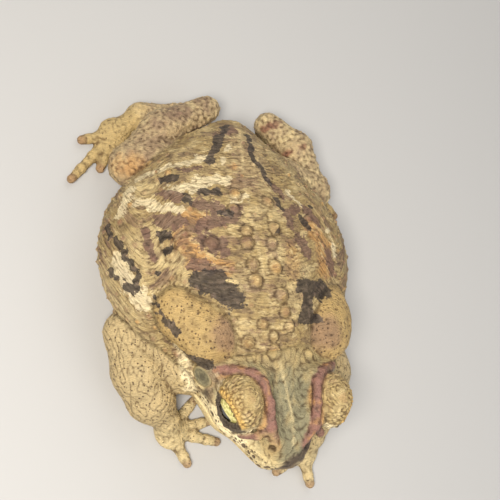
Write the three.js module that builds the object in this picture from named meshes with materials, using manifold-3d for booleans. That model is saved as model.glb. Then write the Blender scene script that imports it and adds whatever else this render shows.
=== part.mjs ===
// A life-size cane toad sitting on the floor, as a still museum model.
// Millimetres, +Z up. The toad faces -Y and its left side is +X.
// The flesh is described by smooth fields: ellipsoids and tapered rods that melt into each other.
// Each node is a mesh wrapped onto its field and cut clear of the nodes that it meets.
import * as THREE from "three";
import { mergeVertices } from "three/addons/utils/BufferGeometryUtils.js";
import Module from "manifold-3d";

const wasm = await Module();
wasm.setup();

// Driving dimensions
const BODY_HALF_WIDTH = 52.5;
const SPINE_BOW = 6; // how far the back curves to the toad's right
const HEAD_SHIFT = 0.7; // how far the head sits to the toad's left
const GAP = 0.3; // between nodes that meet
const BIG = 400; // larger than the toad, for cutting boxes
const RIGHT = -1;
const LEFT = 1;
const SIDES = [RIGHT, LEFT];
const sideName = (s) => (s === RIGHT ? "right" : "left");

const FINISH = {
  skin: { color: 0xb39b6b, roughness: 0.75 },
  paleSkin: { color: 0xd2c39a, roughness: 0.7 },
  gland: { color: 0xa8794f, roughness: 0.7 },
  drum: { color: 0x6f6d5a, roughness: 0.55 },
  eye: { color: 0x8f9a4a, roughness: 0.12 },
};

const vec = (x, y, z) => new THREE.Vector3(x, y, z);
const onHead = (s, [x, y, z]) => vec(s * x + HEAD_SHIFT, y, z);
const spineX = (y) => -SPINE_BOW * Math.max(0, 1 - ((y - 12) / 58) ** 2);

// Random numbers from 0 to 1 that are the same every time
function seeded(seed) {
  let state = seed;
  return () => {
    state = (state + 0x6d2b79f5) | 0;
    let t = Math.imul(state ^ (state >>> 15), 1 | state);
    t = (t + Math.imul(t ^ (t >>> 7), 61 | t)) ^ t;
    return ((t ^ (t >>> 14)) >>> 0) / 2 ** 32;
  };
}

// Fields are negative inside, and close to the distance from the surface.
const smoothMin = (a, b, k) => {
  const h = Math.max(k - Math.abs(a - b), 0) / k;
  return Math.min(a, b) - (h * h * k) / 4;
};
const melt = (fields, k) => (p) => fields.reduce((d, f) => smoothMin(d, f(p), k), BIG);
const grown = (field) => (p) => field(p) - GAP;

function blob(centre, radii) {
  const q = new THREE.Vector3();
  return (p) => {
    q.subVectors(p, centre);
    const k0 = Math.hypot(q.x / radii[0], q.y / radii[1], q.z / radii[2]);
    const k1 = Math.hypot(q.x / radii[0] ** 2, q.y / radii[1] ** 2, q.z / radii[2] ** 2);
    return k1 < 1e-9 ? -Math.min(...radii) : (k0 * (k0 - 1)) / k1;
  };
}

function rod(a, b, ra, rb) {
  const along = new THREE.Vector3().subVectors(b, a);
  const lengthSq = along.lengthSq();
  const q = new THREE.Vector3();
  return (p) => {
    const t = THREE.MathUtils.clamp(q.subVectors(p, a).dot(along) / lengthSq, 0, 1);
    return q.addScaledVector(along, -t).length() - THREE.MathUtils.lerp(ra, rb, t);
  };
}

const chain = (points, radii, k = 3) =>
  melt(points.slice(1).map((b, i) => rod(points[i], b, radii[i], radii[i + 1])), k);
const headChain = (s, points, radii) => chain(points.map((p) => onHead(s, p)), radii);
const eachSide = (make) => SIDES.map(make);

// Trunk: belly, upper back, chest, loins, rump, and the tent-like ridge over the pelvis
const trunkField = melt(
  [
    blob(vec(spineX(14), 14, 20.5), [BODY_HALF_WIDTH, 45, 25]),
    blob(vec(-5, 2, 28), [27, 36, 20]),
    blob(vec(-2, -13, 22), [33, 29, 22]),
    blob(vec(-4, 42, 18), [30, 27, 19]),
    blob(vec(-1.5, 56, 16), [15, 15, 11]),
    rod(vec(-5.5, 34, 32), vec(-0.5, 66, 20), 8, 5),
  ],
  8,
);

// Head: cranium, brow, snout, upper lip rims, canthal and brow ridges, ridges behind the eyes
const LID = { centre: [18.2, -44.8, 42.4], radii: [8.2, 10.2, 9] };
const LIP_RIM = [[20.5, -27, 23.5], [14, -47, 27.2], [4.4, -61.5, 32.3]];
const BROW_RIDGE = [[12, -36.5, 44], [9.2, -52, 44], [3.2, -62, 37]];
const RIDGE_BEHIND_EYE = [[11, -36.5, 44], [23.5, -31, 35.5]];
const JAW_RIM = [[20.5, -25.5, 15], [12.8, -46, 20.4], [4, -59.5, 26.2]];
const skullField = melt(
  [
    blob(vec(HEAD_SHIFT, -34, 30), [24.5, 19, 14.5]),
    blob(vec(HEAD_SHIFT, -43, 34), [12, 13, 10]),
    blob(vec(HEAD_SHIFT, -52, 33.5), [10.5, 14.5, 10.5]),
    ...eachSide((s) => headChain(s, LIP_RIM, [7, 6.5, 5.5])),
    ...eachSide((s) => headChain(s, BROW_RIDGE, [2.8, 3, 3.8])),
    ...eachSide((s) => headChain(s, RIDGE_BEHIND_EYE, [2.8, 3])),
    ...eachSide((s) => blob(onHead(s, LID.centre), LID.radii.map((r) => r - 1))),
  ],
  4.5,
);
const jawField = melt(
  [
    blob(vec(HEAD_SHIFT, -34, 17), [22.5, 20, 11]),
    ...eachSide((s) => headChain(s, JAW_RIM, [7, 6, 5])),
  ],
  6,
);
const headField = melt([skullField, jawField], 3);
const bodyField = melt([trunkField, headField], 7);

// Parotoid glands: a broad front lobe beside the neck, and a smaller lobe behind and outside it
const GLAND = {
  front: { out: 23.4, y: -18.4, z: 36, radii: [11.6, 11.6, 8.8] },
  rear: { out: 31, y: -8.5, z: 32.5, radii: [9, 10.5, 8] },
};
const neckX = (y) => -4.95 - 0.232 * y; // the midline swings from the head into the bowed back
const glandCentre = (s, lobe) => vec(neckX(lobe.y) + s * lobe.out, lobe.y, lobe.z);
const glandField = (s) =>
  melt(Object.values(GLAND).map((lobe) => blob(glandCentre(s, lobe), lobe.radii)), 8);

// Limbs as posed: each joint is a point, with the flesh round it as a radius
const POSE = {
  right: {
    shoulder: vec(-26.5, -27.5, 16), elbow: vec(-47, -13.5, 12.5),
    forearm: [vec(-42.6, -28, 12), vec(-38, -38, 10)],
    wrist: vec(-31, -45.5, 6.5), palm: vec(-28.2, -49.5, 2.6),
    fingers: [[-17.5, -38.5], [-12, -46.5], [-9.2, -54.5], [-21.9, -61.9]],
    hip: vec(-13, 52, 17), knee: vec(-40, 54, 11), calf: vec(-28, 69, 14), heel: vec(-6.5, 80.5, 13),
    tarsus: vec(-33, 78, 5.5), sole: vec(-44, 70, 2.8),
    toes: [[-38.5, 60], [-42.5, 55.5], [-50, 55], [-61.9, 49.8], [-57.1, 66.7]],
  },
  left: {
    shoulder: vec(24, -26.5, 17), elbow: vec(37, -16, 12.5),
    forearm: [vec(37, -30, 12), vec(35.5, -42, 10)], wrist: vec(31, -55, 6.5), palm: vec(28.5, -60, 2.6),
    fingers: [[17.5, -51], [12.5, -60], [15.7, -67.7], [30.5, -73.5]],
    hip: vec(11, 51, 17), knee: vec(39.5, 47.5, 12), calf: vec(33, 66, 14), heel: vec(22.5, 77, 12),
    tarsus: vec(40, 64, 5), sole: vec(45.5, 54.5, 2.8),
    toes: [[39.5, 41], [42.5, 33], [47.5, 30.5], [54, 32.5], [57.5, 41]],
  },
};
const FLESH = {
  upperArm: [10, 8.4], forearm: [8, 10, 8.7, 4.8], thigh: [12.5, 9.3], shank: [8, 7.4, 5.6],
  tarsus: [5.4, 5.2], hand: [6.4, 6.8, 3.6], sole: [6.4, 7, 3.6],
};
const DIGIT = { z: 1.7, start: 0.2, knuckle: 0.5, radii: [2.5, 2.1, 1.8] };
const WEB = { thickness: 0.8, z: 1.3, reach: 0.6, scallop: 0.3 };
const tarsusStart = (at) => at.heel.clone().lerp(at.tarsus, 0.15).setZ(6.5);
const limbFields = Object.values(POSE).flatMap((at) => [
  chain([at.shoulder, at.elbow], FLESH.upperArm),
  chain([at.elbow, ...at.forearm], FLESH.forearm.slice(0, 3)),
  chain([at.hip, at.knee], FLESH.thigh),
  chain([at.knee, at.calf, at.heel], FLESH.shank),
]);

// Wraps a closed mesh onto the outermost surface of a field, seen from a line through its middle.
function wrap(field, { from, to, rings, sides, scale = [1, 1, 1], reach = 50, step = 1 }) {
  const axis = new THREE.Vector3().subVectors(to, from);
  const ahead = axis.clone().normalize();
  const across = new THREE.Vector3().crossVectors(ahead, vec(0, 0, 1)).normalize();
  const above = new THREE.Vector3().crossVectors(across, ahead);
  const p = new THREE.Vector3();
  const onSurface = (origin, dir) => {
    const inside = (t) => field(p.copy(origin).addScaledVector(dir, t)) < 0;
    let out = reach;
    while (out > step && !inside(out - step)) out -= step;
    let near = Math.max(out - step, 0);
    for (let i = 0; i < 20; i++) {
      const middle = (near + out) / 2;
      if (inside(middle)) near = middle;
      else out = middle;
    }
    return p.copy(origin).addScaledVector(dir, near).toArray();
  };
  const positions = [];
  for (let i = 0; i <= rings; i++) {
    const phi = (Math.PI * i) / rings;
    const origin = from.clone().addScaledVector(axis, (1 - Math.cos(phi)) / 2);
    for (let j = 0; j < (i % rings === 0 ? 1 : sides); j++) {
      const theta = (2 * Math.PI * (j + 0.5)) / sides;
      const dir = ahead.clone().multiplyScalar(-Math.cos(phi) * scale[1])
        .addScaledVector(across, Math.sin(phi) * Math.cos(theta) * scale[0])
        .addScaledVector(above, Math.sin(phi) * Math.sin(theta) * scale[2])
        .normalize();
      positions.push(...onSurface(origin, dir));
    }
  }
  const last = 1 + (rings - 1) * sides;
  const at = (i, j) => (i === 0 ? 0 : i === rings ? last : 1 + (i - 1) * sides + (j % sides));
  const index = [];
  for (let i = 0; i < rings; i++)
    for (let j = 0; j < sides; j++) {
      if (i > 0) index.push(at(i, j + 1), at(i, j), at(i + 1, j));
      if (i < rings - 1) index.push(at(i + 1, j + 1), at(i, j + 1), at(i + 1, j));
    }
  return new THREE.BufferGeometry()
    .setAttribute("position", new THREE.Float32BufferAttribute(positions, 3))
    .setIndex(index);
}

// Closed meshes that can be joined and cut
function solid(geometry) {
  const bare = geometry.clone();
  bare.deleteAttribute("normal");
  bare.deleteAttribute("uv");
  const merged = mergeVertices(bare, 1e-4);
  return new wasm.Manifold(
    new wasm.Mesh({
      numProp: 3,
      vertProperties: new Float32Array(merged.attributes.position.array),
      triVerts: new Uint32Array(merged.index.array),
    }),
  );
}
const wrapSolid = (field, options) => solid(wrap(field, options));
const largest = (shape) => shape.decompose().sort((a, b) => b.volume() - a.volume())[0];
const joined = (shapes) => shapes.reduce((all, next) => all.add(next));
const moved = (geometry, p) => geometry.translate(p.x, p.y, p.z);

function geometryOf(shape) {
  const { vertProperties, triVerts } = shape.getMesh();
  const geometry = new THREE.BufferGeometry()
    .setAttribute("position", new THREE.BufferAttribute(new Float32Array(vertProperties), 3))
    .setIndex(new THREE.BufferAttribute(new Uint32Array(triVerts), 1));
  geometry.computeVertexNormals();
  return geometry;
}

const bigBox = (centre, turn = new THREE.Matrix4()) =>
  solid(moved(new THREE.BoxGeometry(BIG, BIG, BIG).applyMatrix4(turn), centre));
const belowFloor = bigBox(vec(0, 0, -BIG / 2));

// Nodes in the order in which they are made. A later node gives way to the earlier ones.
const nodes = new Map();
function keep(name, shape, finish) {
  nodes.set(name, { shape: largest(shape.subtract(belowFloor)), finish });
}
const takenUp = [];
const giveWay = (shape) => takenUp.reduce((rest, taken) => rest.subtract(taken), shape);
function wrapped(field, options) {
  const shape = giveWay(wrapSolid(field, options));
  takenUp.push(wrapSolid(grown(field), options));
  return shape;
}

// The neck cut leans forward going up, so that it passes behind the crests and the jaw corners.
const NECK = { y: -31, z: 45, lean: 1 / 3 };
function neckBox(sign) {
  const turn = new THREE.Matrix4().makeRotationX(Math.atan(NECK.lean));
  const away = vec(0, sign * (BIG / 2 - GAP / 2), 0).applyMatrix4(turn);
  return bigBox(vec(0, NECK.y, NECK.z).add(away), turn);
}

// The outward direction at a point of a field's surface
function outward(field, p) {
  const e = 0.05;
  const slope = (x, y, z) => field(vec(p.x + x, p.y + y, p.z + z)) - field(vec(p.x - x, p.y - y, p.z - z));
  return vec(slope(e, 0, 0), slope(0, e, 0), slope(0, 0, e)).normalize();
}

// The point where a straight line first meets a field's surface
function landing(field, from, towards, reach = 120, step = 0.25) {
  const p = from.clone();
  for (let travelled = 0; travelled < reach; travelled += step) {
    if (field(p) < 0) return p;
    p.addScaledVector(towards, step);
  }
  return null;
}

function turnUpTo(normal) {
  const turn = new THREE.Quaternion().setFromUnitVectors(vec(0, 1, 0), normal);
  return new THREE.Matrix4().makeRotationFromQuaternion(turn);
}

// A wart is a low dome with its root sunk in the skin.
const WART_ROOT = 0.35;
function wart({ at, radius, height }) {
  const normal = outward(bodyField, at);
  const root = at.clone().addScaledVector(normal, -height * WART_ROOT);
  const dome = new THREE.SphereGeometry(1, 6, 4).scale(radius, height * (1 + WART_ROOT), radius);
  return solid(moved(dome.applyMatrix4(turnUpTo(normal)), root));
}

// Torso, with a row of warts along each side of the spine and smaller ones over back and flanks
const WART_ROW = { count: 9, firstY: -25, pitch: 9, offset: 7.5, radius: 2.7, height: 1.5 };
const SCATTER = { tries: 700, spacing: 10.5, radius: [1.8, 3], height: [0.9, 1.5], seed: 41, lowest: 9 };
const CLEAR_OF_NEIGHBOURS = 4;
function torsoWarts() {
  const neighbours = [...limbFields, ...SIDES.map(glandField), headField];
  const isClear = (at) => neighbours.every((field) => field(at) > CLEAR_OF_NEIGHBOURS);
  const random = seeded(SCATTER.seed);
  const between = THREE.MathUtils.lerp;
  const places = [];
  const isCrowded = (at) => places.some((other) => other.at.distanceTo(at) < SCATTER.spacing);
  const add = (at, radius, height) => {
    if (at && isClear(at)) places.push({ at, radius, height });
  };
  for (let i = 0; i < WART_ROW.count; i++)
    for (const s of SIDES) {
      const y = WART_ROW.firstY + WART_ROW.pitch * i + 3 * s + 2 * random();
      const x = spineX(y) + s * (WART_ROW.offset + 1.5 * random());
      const at = landing(bodyField, vec(x, y, 80), vec(0, 0, -1));
      add(at, WART_ROW.radius + 0.6 * random(), WART_ROW.height);
    }
  const middle = vec(-4, 14, 12);
  for (let i = 0; i < SCATTER.tries; i++) {
    const turn = 2 * Math.PI * random();
    const lift = Math.asin(random());
    const dir = vec(Math.cos(turn) * Math.cos(lift), Math.sin(turn) * Math.cos(lift), Math.sin(lift));
    const at = landing(bodyField, middle.clone().addScaledVector(dir, 110), dir.clone().negate());
    const size = random();
    if (!at || at.z < SCATTER.lowest || isCrowded(at)) continue;
    add(at, between(...SCATTER.radius, size), between(...SCATTER.height, size));
  }
  return places.map(wart);
}

const torsoField = (p) => Math.max(bodyField(p), -(p.y + 44));
const torsoWrap = {
  from: vec(-4, 40, 21), to: vec(-3, -18, 23), rings: 22, sides: 32, scale: [1.7, 1, 1], reach: 90,
};
const wartyTorso = joined([wrapSolid(torsoField, torsoWrap), ...torsoWarts()]);
keep("torso", wartyTorso.subtract(neckBox(-1)), FINISH.skin);
takenUp.push(wrapSolid(grown(torsoField), torsoWrap));

// Crests run from the nostril over the brow and down behind the eye, with a branch in front of the eye.
const CREST = {
  radius: 1.7,
  lines: [
    [
      [3.4, -63, 37.6], [5.6, -59.5, 41.8], [8.8, -54, 46.2], [9.4, -46, 48.4],
      [10.8, -38.5, 47.8], [14, -35, 45.8], [19, -33.2, 42.4], [24, -31.6, 37.4],
    ],
    [[8.8, -54, 45.6], [12.6, -56.2, 42.6], [16.6, -55, 36.6]],
  ],
};
function crest(points, radius) {
  const circle = new THREE.Shape().absarc(0, 0, radius, 0, 2 * Math.PI);
  const extrudePath = new THREE.CatmullRomCurve3(points);
  const steps = 2 * points.length;
  return solid(new THREE.ExtrudeGeometry(circle, { steps, curveSegments: 3, extrudePath }));
}
const crests = (s, radius) => CREST.lines.map((line) => crest(line.map((p) => onHead(s, p)), radius));

// The lids are a dome, opened by a wedge that widens outwards from a line inside the dome.
const EYE = { centre: [18.3, -45, 42.2], radius: 6.8 };
const OPENING = {
  out: [0.93, -0.35, 0.1], front: [-0.355, -0.9, 0.26],
  depth: 5.2, upper: 68, lower: 60, reach: 11.5,
};
const mirroredWay = (s, [x, y, z]) => vec(s * x, y, z).normalize();
function lidOpening(s) {
  const out = mirroredWay(s, OPENING.out);
  const front = mirroredWay(s, OPENING.front);
  const up = new THREE.Vector3().crossVectors(front, out).multiplyScalar(s).normalize();
  const side = new THREE.Vector3().crossVectors(out, up);
  const corner = (degrees) => {
    const angle = THREE.MathUtils.degToRad(degrees);
    return [2 * OPENING.reach * Math.cos(angle), 2 * OPENING.reach * Math.sin(angle)];
  };
  const outline = new THREE.Shape();
  outline.moveTo(0, 0);
  outline.lineTo(...corner(-OPENING.lower));
  outline.lineTo(...corner(OPENING.upper));
  outline.closePath();
  const depth = 2 * OPENING.reach;
  const wedge = new THREE.ExtrudeGeometry(outline, { depth, bevelEnabled: false });
  wedge.translate(OPENING.depth, 0, -depth / 2).applyMatrix4(new THREE.Matrix4().makeBasis(out, up, side));
  const centre = onHead(s, LID.centre);
  const ball = new THREE.SphereGeometry(OPENING.reach, 20, 14);
  return solid(moved(wedge, centre)).intersect(solid(moved(ball, centre)));
}
function lidDome(s) {
  const dome = new THREE.SphereGeometry(1, 18, 10).scale(...LID.radii);
  return solid(moved(dome, onHead(s, LID.centre)));
}
function eyeBall(s, radius, segments) {
  const ball = new THREE.SphereGeometry(radius, segments, segments / 2).rotateX(Math.PI / 2);
  return solid(moved(ball, onHead(s, EYE.centre)));
}

const NOSTRIL = { near: [5.5, -60.5, 39], towards: [0.6, -0.35, 0.7], radius: 1 };
function nostril(s) {
  const away = mirroredWay(s, NOSTRIL.towards);
  const start = onHead(s, NOSTRIL.near).addScaledVector(away, 6);
  const at = landing(bodyField, start, away.negate());
  return solid(moved(new THREE.SphereGeometry(NOSTRIL.radius, 8, 6), at));
}

const DRUM = { near: [25.8, -32.8, 31.2], radius: 4.3, depth: 1.6, sunk: 0.3, sides: 18 };
function drumDisc(s, radius, top) {
  const guess = onHead(s, DRUM.near);
  const normal = outward(bodyField, guess);
  const at = landing(bodyField, guess.addScaledVector(normal, 12), normal.clone().negate());
  const disc = new THREE.CylinderGeometry(radius, radius, top + DRUM.depth, DRUM.sides);
  at.addScaledVector(normal, (top - DRUM.depth) / 2);
  return solid(moved(disc.applyMatrix4(turnUpTo(normal)), at));
}

// The line of the mouth, as y and z from behind the jaw corner to past the snout
const MOUTH = [
  [-10, 16.5], [-24, 18], [-34, 18.9], [-43.5, 20.6],
  [-53, 23.6], [-61, 27.2], [-67, 29.6], [-80, 33],
];
const MOUTH_GAP = 0.5;
function besideMouth(above, below) {
  const line = new THREE.SplineCurve(MOUTH.map(([y, z]) => new THREE.Vector2(y, z))).getPoints(24);
  const outline = new THREE.Shape([
    ...line.map((q) => new THREE.Vector2(q.x, q.y - below)),
    ...line.toReversed().map((q) => new THREE.Vector2(q.x, q.y + above)),
  ]);
  const slab = new THREE.ExtrudeGeometry(outline, { depth: BIG / 2, bevelEnabled: false });
  const sideways = new THREE.Matrix4().makeBasis(vec(0, 1, 0), vec(0, 0, 1), vec(1, 0, 0));
  return solid(slab.translate(0, 0, -BIG / 4).applyMatrix4(sideways));
}

const headOnly = (p) => Math.max(bodyField(p), p.y + 14);
const headWrap = {
  from: vec(0, -28, 29), to: vec(0, -54, 33), rings: 26, sides: 36, scale: [1.2, 1, 1], reach: 60,
};
let head = joined([
  wrapSolid(headOnly, headWrap),
  ...SIDES.map(lidDome),
  ...SIDES.flatMap((s) => crests(s, CREST.radius)),
]).subtract(neckBox(1));
for (const s of SIDES) {
  const eyeHole = lidOpening(s).add(eyeBall(s, EYE.radius + GAP, 24));
  const drumHole = drumDisc(s, DRUM.radius + GAP, 4);
  head = head.subtract(joined([eyeHole, drumHole, nostril(s)]));
  keep("eye_" + sideName(s), eyeBall(s, EYE.radius, 20), FINISH.eye);
  keep("ear_drum_" + sideName(s), drumDisc(s, DRUM.radius, -DRUM.sunk), FINISH.drum);
  takenUp.push(...crests(s, CREST.radius + GAP));
}
keep("head", head.subtract(besideMouth(MOUTH_GAP / 2, BIG / 4)), FINISH.skin);
keep("lower_jaw", head.subtract(besideMouth(BIG / 4, MOUTH_GAP / 2)), FINISH.paleSkin);
takenUp.push(wrapSolid(grown(headOnly), headWrap));

for (const s of SIDES) {
  const [from, to] = [GLAND.rear, GLAND.front].map((lobe) => glandCentre(s, lobe));
  const shape = wrapped(glandField(s), { from, to, rings: 12, sides: 16 });
  keep("parotoid_gland_" + sideName(s), shape, FINISH.gland);
}

// A digit from near the middle of the palm or sole to its tip
const flatPoint = ([x, y]) => vec(x, y, DIGIT.z);
function digit(base, tip) {
  const points = [DIGIT.start, DIGIT.knuckle, 1].map((t) => base.clone().lerp(tip, t).setZ(DIGIT.z));
  const wrapping = { from: points[0], to: points[2], rings: 6, sides: 7, step: 0.5 };
  return { field: chain(points, DIGIT.radii), wrapping };
}

// Webs between neighbouring toes, as thin plates with a hollow edge
function web(base, tipA, tipB) {
  const flat = (v) => new THREE.Vector2(v.x, v.y);
  const root = flat(base);
  const a = flat(base.clone().lerp(tipA, WEB.reach));
  const b = flat(base.clone().lerp(tipB, WEB.reach));
  const hollow = a.clone().lerp(b, 0.5).lerp(root, WEB.scallop);
  const outline = new THREE.Shape();
  outline.moveTo(root.x, root.y);
  outline.lineTo(a.x, a.y);
  outline.quadraticCurveTo(hollow.x, hollow.y, b.x, b.y);
  outline.closePath();
  const options = { depth: WEB.thickness, bevelEnabled: false, curveSegments: 5 };
  const plate = new THREE.ExtrudeGeometry(outline, options);
  return solid(plate.translate(0, 0, WEB.z - WEB.thickness / 2));
}

for (const [side, at] of Object.entries(POSE)) {
  const limb = (name, points, radii) => {
    const wrapping = { from: points[0], to: points.at(-1), rings: 10, sides: 12, step: 0.5 };
    keep(`${name}_${side}`, wrapped(chain(points, radii), wrapping), FINISH.skin);
  };
  limb("upper_arm", [at.shoulder, at.elbow], FLESH.upperArm);
  limb("forearm", [at.elbow, ...at.forearm, at.wrist], FLESH.forearm);
  const handField = melt([blob(at.palm, FLESH.hand), rod(at.wrist, at.palm, 4.6, 3.4)], 3);
  const handWrap = { from: at.wrist, to: at.palm, rings: 10, sides: 12, step: 0.5 };
  keep("hand_" + side, wrapped(handField, handWrap), FINISH.paleSkin);
  at.fingers.map(flatPoint).forEach((tip, i) => {
    const { field, wrapping } = digit(at.palm, tip);
    keep(`finger_${i + 1}_${side}`, wrapped(field, wrapping), FINISH.paleSkin);
  });
  limb("thigh", [at.hip, at.knee], FLESH.thigh);
  limb("shank", [at.knee, at.calf, at.heel], FLESH.shank);
  limb("tarsus", [tarsusStart(at), at.tarsus], FLESH.tarsus);
  const soleField = melt([blob(at.sole, FLESH.sole), rod(at.tarsus, at.sole, 5.2, 3.6)], 3);
  const toes = at.toes.map(flatPoint);
  const foot = joined([
    wrapSolid(soleField, { from: at.tarsus, to: at.sole, rings: 10, sides: 12, step: 0.5 }),
    ...toes.map((tip) => digit(at.sole, tip)).map(({ field, wrapping }) => wrapSolid(field, wrapping)),
    ...toes.slice(1).map((tip, i) => web(at.sole, toes[i], tip)),
  ]);
  keep("foot_" + side, giveWay(foot), FINISH.paleSkin);
}

const toad = new THREE.Group();
for (const [name, { shape, finish }] of nodes) {
  const material = new THREE.MeshStandardMaterial({ ...finish, metalness: 0 });
  const mesh = new THREE.Mesh(geometryOf(shape), material);
  mesh.name = name;
  toad.add(mesh);
}

// The origin is on the floor, under the middle of the toad.
const middle = new THREE.Box3().setFromObject(toad).getCenter(new THREE.Vector3());
toad.position.set(-middle.x, -middle.y, 0);
export default toad;
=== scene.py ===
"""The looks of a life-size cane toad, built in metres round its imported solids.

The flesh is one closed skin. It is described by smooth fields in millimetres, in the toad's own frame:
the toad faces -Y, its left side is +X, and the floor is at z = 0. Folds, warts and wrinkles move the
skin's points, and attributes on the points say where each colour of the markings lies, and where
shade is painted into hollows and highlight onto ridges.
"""

import logging
import math
from dataclasses import dataclass, field
from enum import Enum
from typing import Callable, Sequence

import bpy
import numpy as np
import openvdb
from mathutils import Matrix, Vector


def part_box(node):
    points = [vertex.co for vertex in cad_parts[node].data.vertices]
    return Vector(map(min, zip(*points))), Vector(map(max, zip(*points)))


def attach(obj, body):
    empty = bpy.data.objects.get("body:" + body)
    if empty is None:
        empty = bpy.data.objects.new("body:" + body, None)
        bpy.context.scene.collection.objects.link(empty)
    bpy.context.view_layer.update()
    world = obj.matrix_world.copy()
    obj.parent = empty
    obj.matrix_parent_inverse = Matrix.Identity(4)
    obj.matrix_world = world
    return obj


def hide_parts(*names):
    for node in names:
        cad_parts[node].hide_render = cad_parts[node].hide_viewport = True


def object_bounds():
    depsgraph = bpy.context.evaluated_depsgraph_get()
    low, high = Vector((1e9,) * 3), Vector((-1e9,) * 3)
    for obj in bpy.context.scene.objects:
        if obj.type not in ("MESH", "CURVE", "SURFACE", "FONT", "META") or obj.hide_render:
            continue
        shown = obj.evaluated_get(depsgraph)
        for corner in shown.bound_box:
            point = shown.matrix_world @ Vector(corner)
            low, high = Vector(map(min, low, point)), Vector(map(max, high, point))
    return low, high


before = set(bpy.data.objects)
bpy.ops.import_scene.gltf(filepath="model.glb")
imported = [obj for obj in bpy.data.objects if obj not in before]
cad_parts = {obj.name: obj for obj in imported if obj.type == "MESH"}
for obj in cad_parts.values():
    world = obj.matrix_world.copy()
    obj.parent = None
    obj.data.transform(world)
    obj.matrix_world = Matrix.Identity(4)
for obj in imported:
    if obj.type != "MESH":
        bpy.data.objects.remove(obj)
CAD_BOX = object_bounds()

log = logging.getLogger("toad")
Point = tuple[float, float, float]
Color = tuple[float, float, float, float]
Field = Callable[[np.ndarray], np.ndarray]
Socket = bpy.types.NodeSocket
MM = 0.001
FAR = 8.5  # mm, past which a form has no part in the fillets round it


class Side(Enum):
    """A side of the toad, as the sign of its x."""

    RIGHT = -1
    LEFT = 1

    @property
    def word(self) -> str:
        """The side's name, as it stands at the end of a node's name."""
        return self.name.lower()


# Fields


def smooth_min(a: np.ndarray, b: np.ndarray, k: float) -> np.ndarray:
    """Joins two fields with a fillet.

    Args:
        a: Values of the first field.
        b: Values of the second field.
        k: Width of the fillet in mm.

    Returns:
        The joined field, which is never above either one.
    """
    h = np.maximum(k - np.abs(a - b), 0.0) / k
    return np.minimum(a, b) - h * h * (k / 4)


def smooth_max(a: np.ndarray, b: np.ndarray, k: float) -> np.ndarray:
    """Cuts one field with another, with a rounded edge of width k in mm."""
    return -smooth_min(-a, -b, k)


def smooth_step(low: float, high: float, x: np.ndarray) -> np.ndarray:
    """Rises smoothly from 0 at low to 1 at high, or falls where high is below low."""
    t = np.clip((x - low) / (high - low), 0.0, 1.0)
    return t * t * (3 - 2 * t)


@dataclass(frozen=True)
class Blob:
    """An ellipsoid, as a field."""

    centre: Point
    radii: Point

    def __call__(self, p: np.ndarray) -> np.ndarray:
        """Measures how far points lie from the ellipsoid.

        Args:
            p: Points in mm.

        Returns:
            The distance from the surface, negative inside.
        """
        q = p - np.array(self.centre, p.dtype)
        r = np.array(self.radii, p.dtype)
        k0 = np.sqrt(((q / r) ** 2).sum(1))
        k1 = np.sqrt(((q / r**2) ** 2).sum(1)) + 1e-6
        return k0 * (k0 - 1) / k1

    def box(self) -> tuple[np.ndarray, np.ndarray]:
        """Gives the lowest and highest corner."""
        centre, radii = np.array(self.centre), np.array(self.radii)
        return centre - radii, centre + radii


@dataclass(frozen=True)
class Rod:
    """A rod with round ends and a radius that changes along it, as a field."""

    start: Point
    end: Point
    start_radius: float
    end_radius: float

    def __call__(self, p: np.ndarray) -> np.ndarray:
        """Measures how far points lie from the rod.

        Args:
            p: Points in mm.

        Returns:
            The distance from the surface, negative inside.
        """
        a = np.array(self.start, p.dtype)
        along = np.array(self.end, p.dtype) - a
        q = p - a
        t = np.clip(q @ along / (along @ along + 1e-6), 0, 1)
        away = np.sqrt(((q - t[:, None] * along) ** 2).sum(1))
        return away - (self.start_radius + (self.end_radius - self.start_radius) * t)

    def box(self) -> tuple[np.ndarray, np.ndarray]:
        """Gives the lowest and highest corner."""
        ends, r = np.array([self.start, self.end]), max(self.start_radius, self.end_radius)
        return ends.min(0) - r, ends.max(0) + r


@dataclass(frozen=True)
class Melt:
    """Several fields joined with fillets of one width."""

    fields: tuple[Field, ...]
    k: float

    def __call__(self, p: np.ndarray) -> np.ndarray:
        """Measures how far points lie from the joined fields.

        Args:
            p: Points in mm.

        Returns:
            The distance from the surface, negative inside, and one high value for all points far away.
        """
        low, high = self.box()
        near = ((p > low - FAR) & (p < high + FAR)).all(1)
        q = p[near]
        joined = self.fields[0](q)
        for other in self.fields[1:]:
            joined = smooth_min(joined, other(q), self.k)
        values = np.full(len(p), 5 * FAR, p.dtype)
        values[near] = joined
        return values

    def box(self) -> tuple[np.ndarray, np.ndarray]:
        """Gives the lowest and highest corner."""
        lows, highs = zip(*(shape.box() for shape in self.fields))
        return np.min(lows, axis=0), np.max(highs, axis=0)


def chain(points: Sequence[Point], radii: Sequence[float], k: float = 3.0) -> Melt:
    """Rods from point to point.

    Args:
        points: The places of the joints in mm.
        radii: The radius at each joint in mm.
        k: Width of the fillets between the rods in mm.

    Returns:
        The rods as one field.
    """
    pairs = zip(points, points[1:], radii, radii[1:])
    return Melt(tuple(Rod(a, b, ra, rb) for a, b, ra, rb in pairs), k)


def line_distance(p: np.ndarray, points: Sequence[Point]) -> np.ndarray:
    """Gives the distance of each row of p from one point, or from a bent line through several, in mm."""
    return np.min([Rod(a, b, 0, 0)(p) for a, b in zip(points, points[1:] or points)], axis=0)


# Noise


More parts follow.
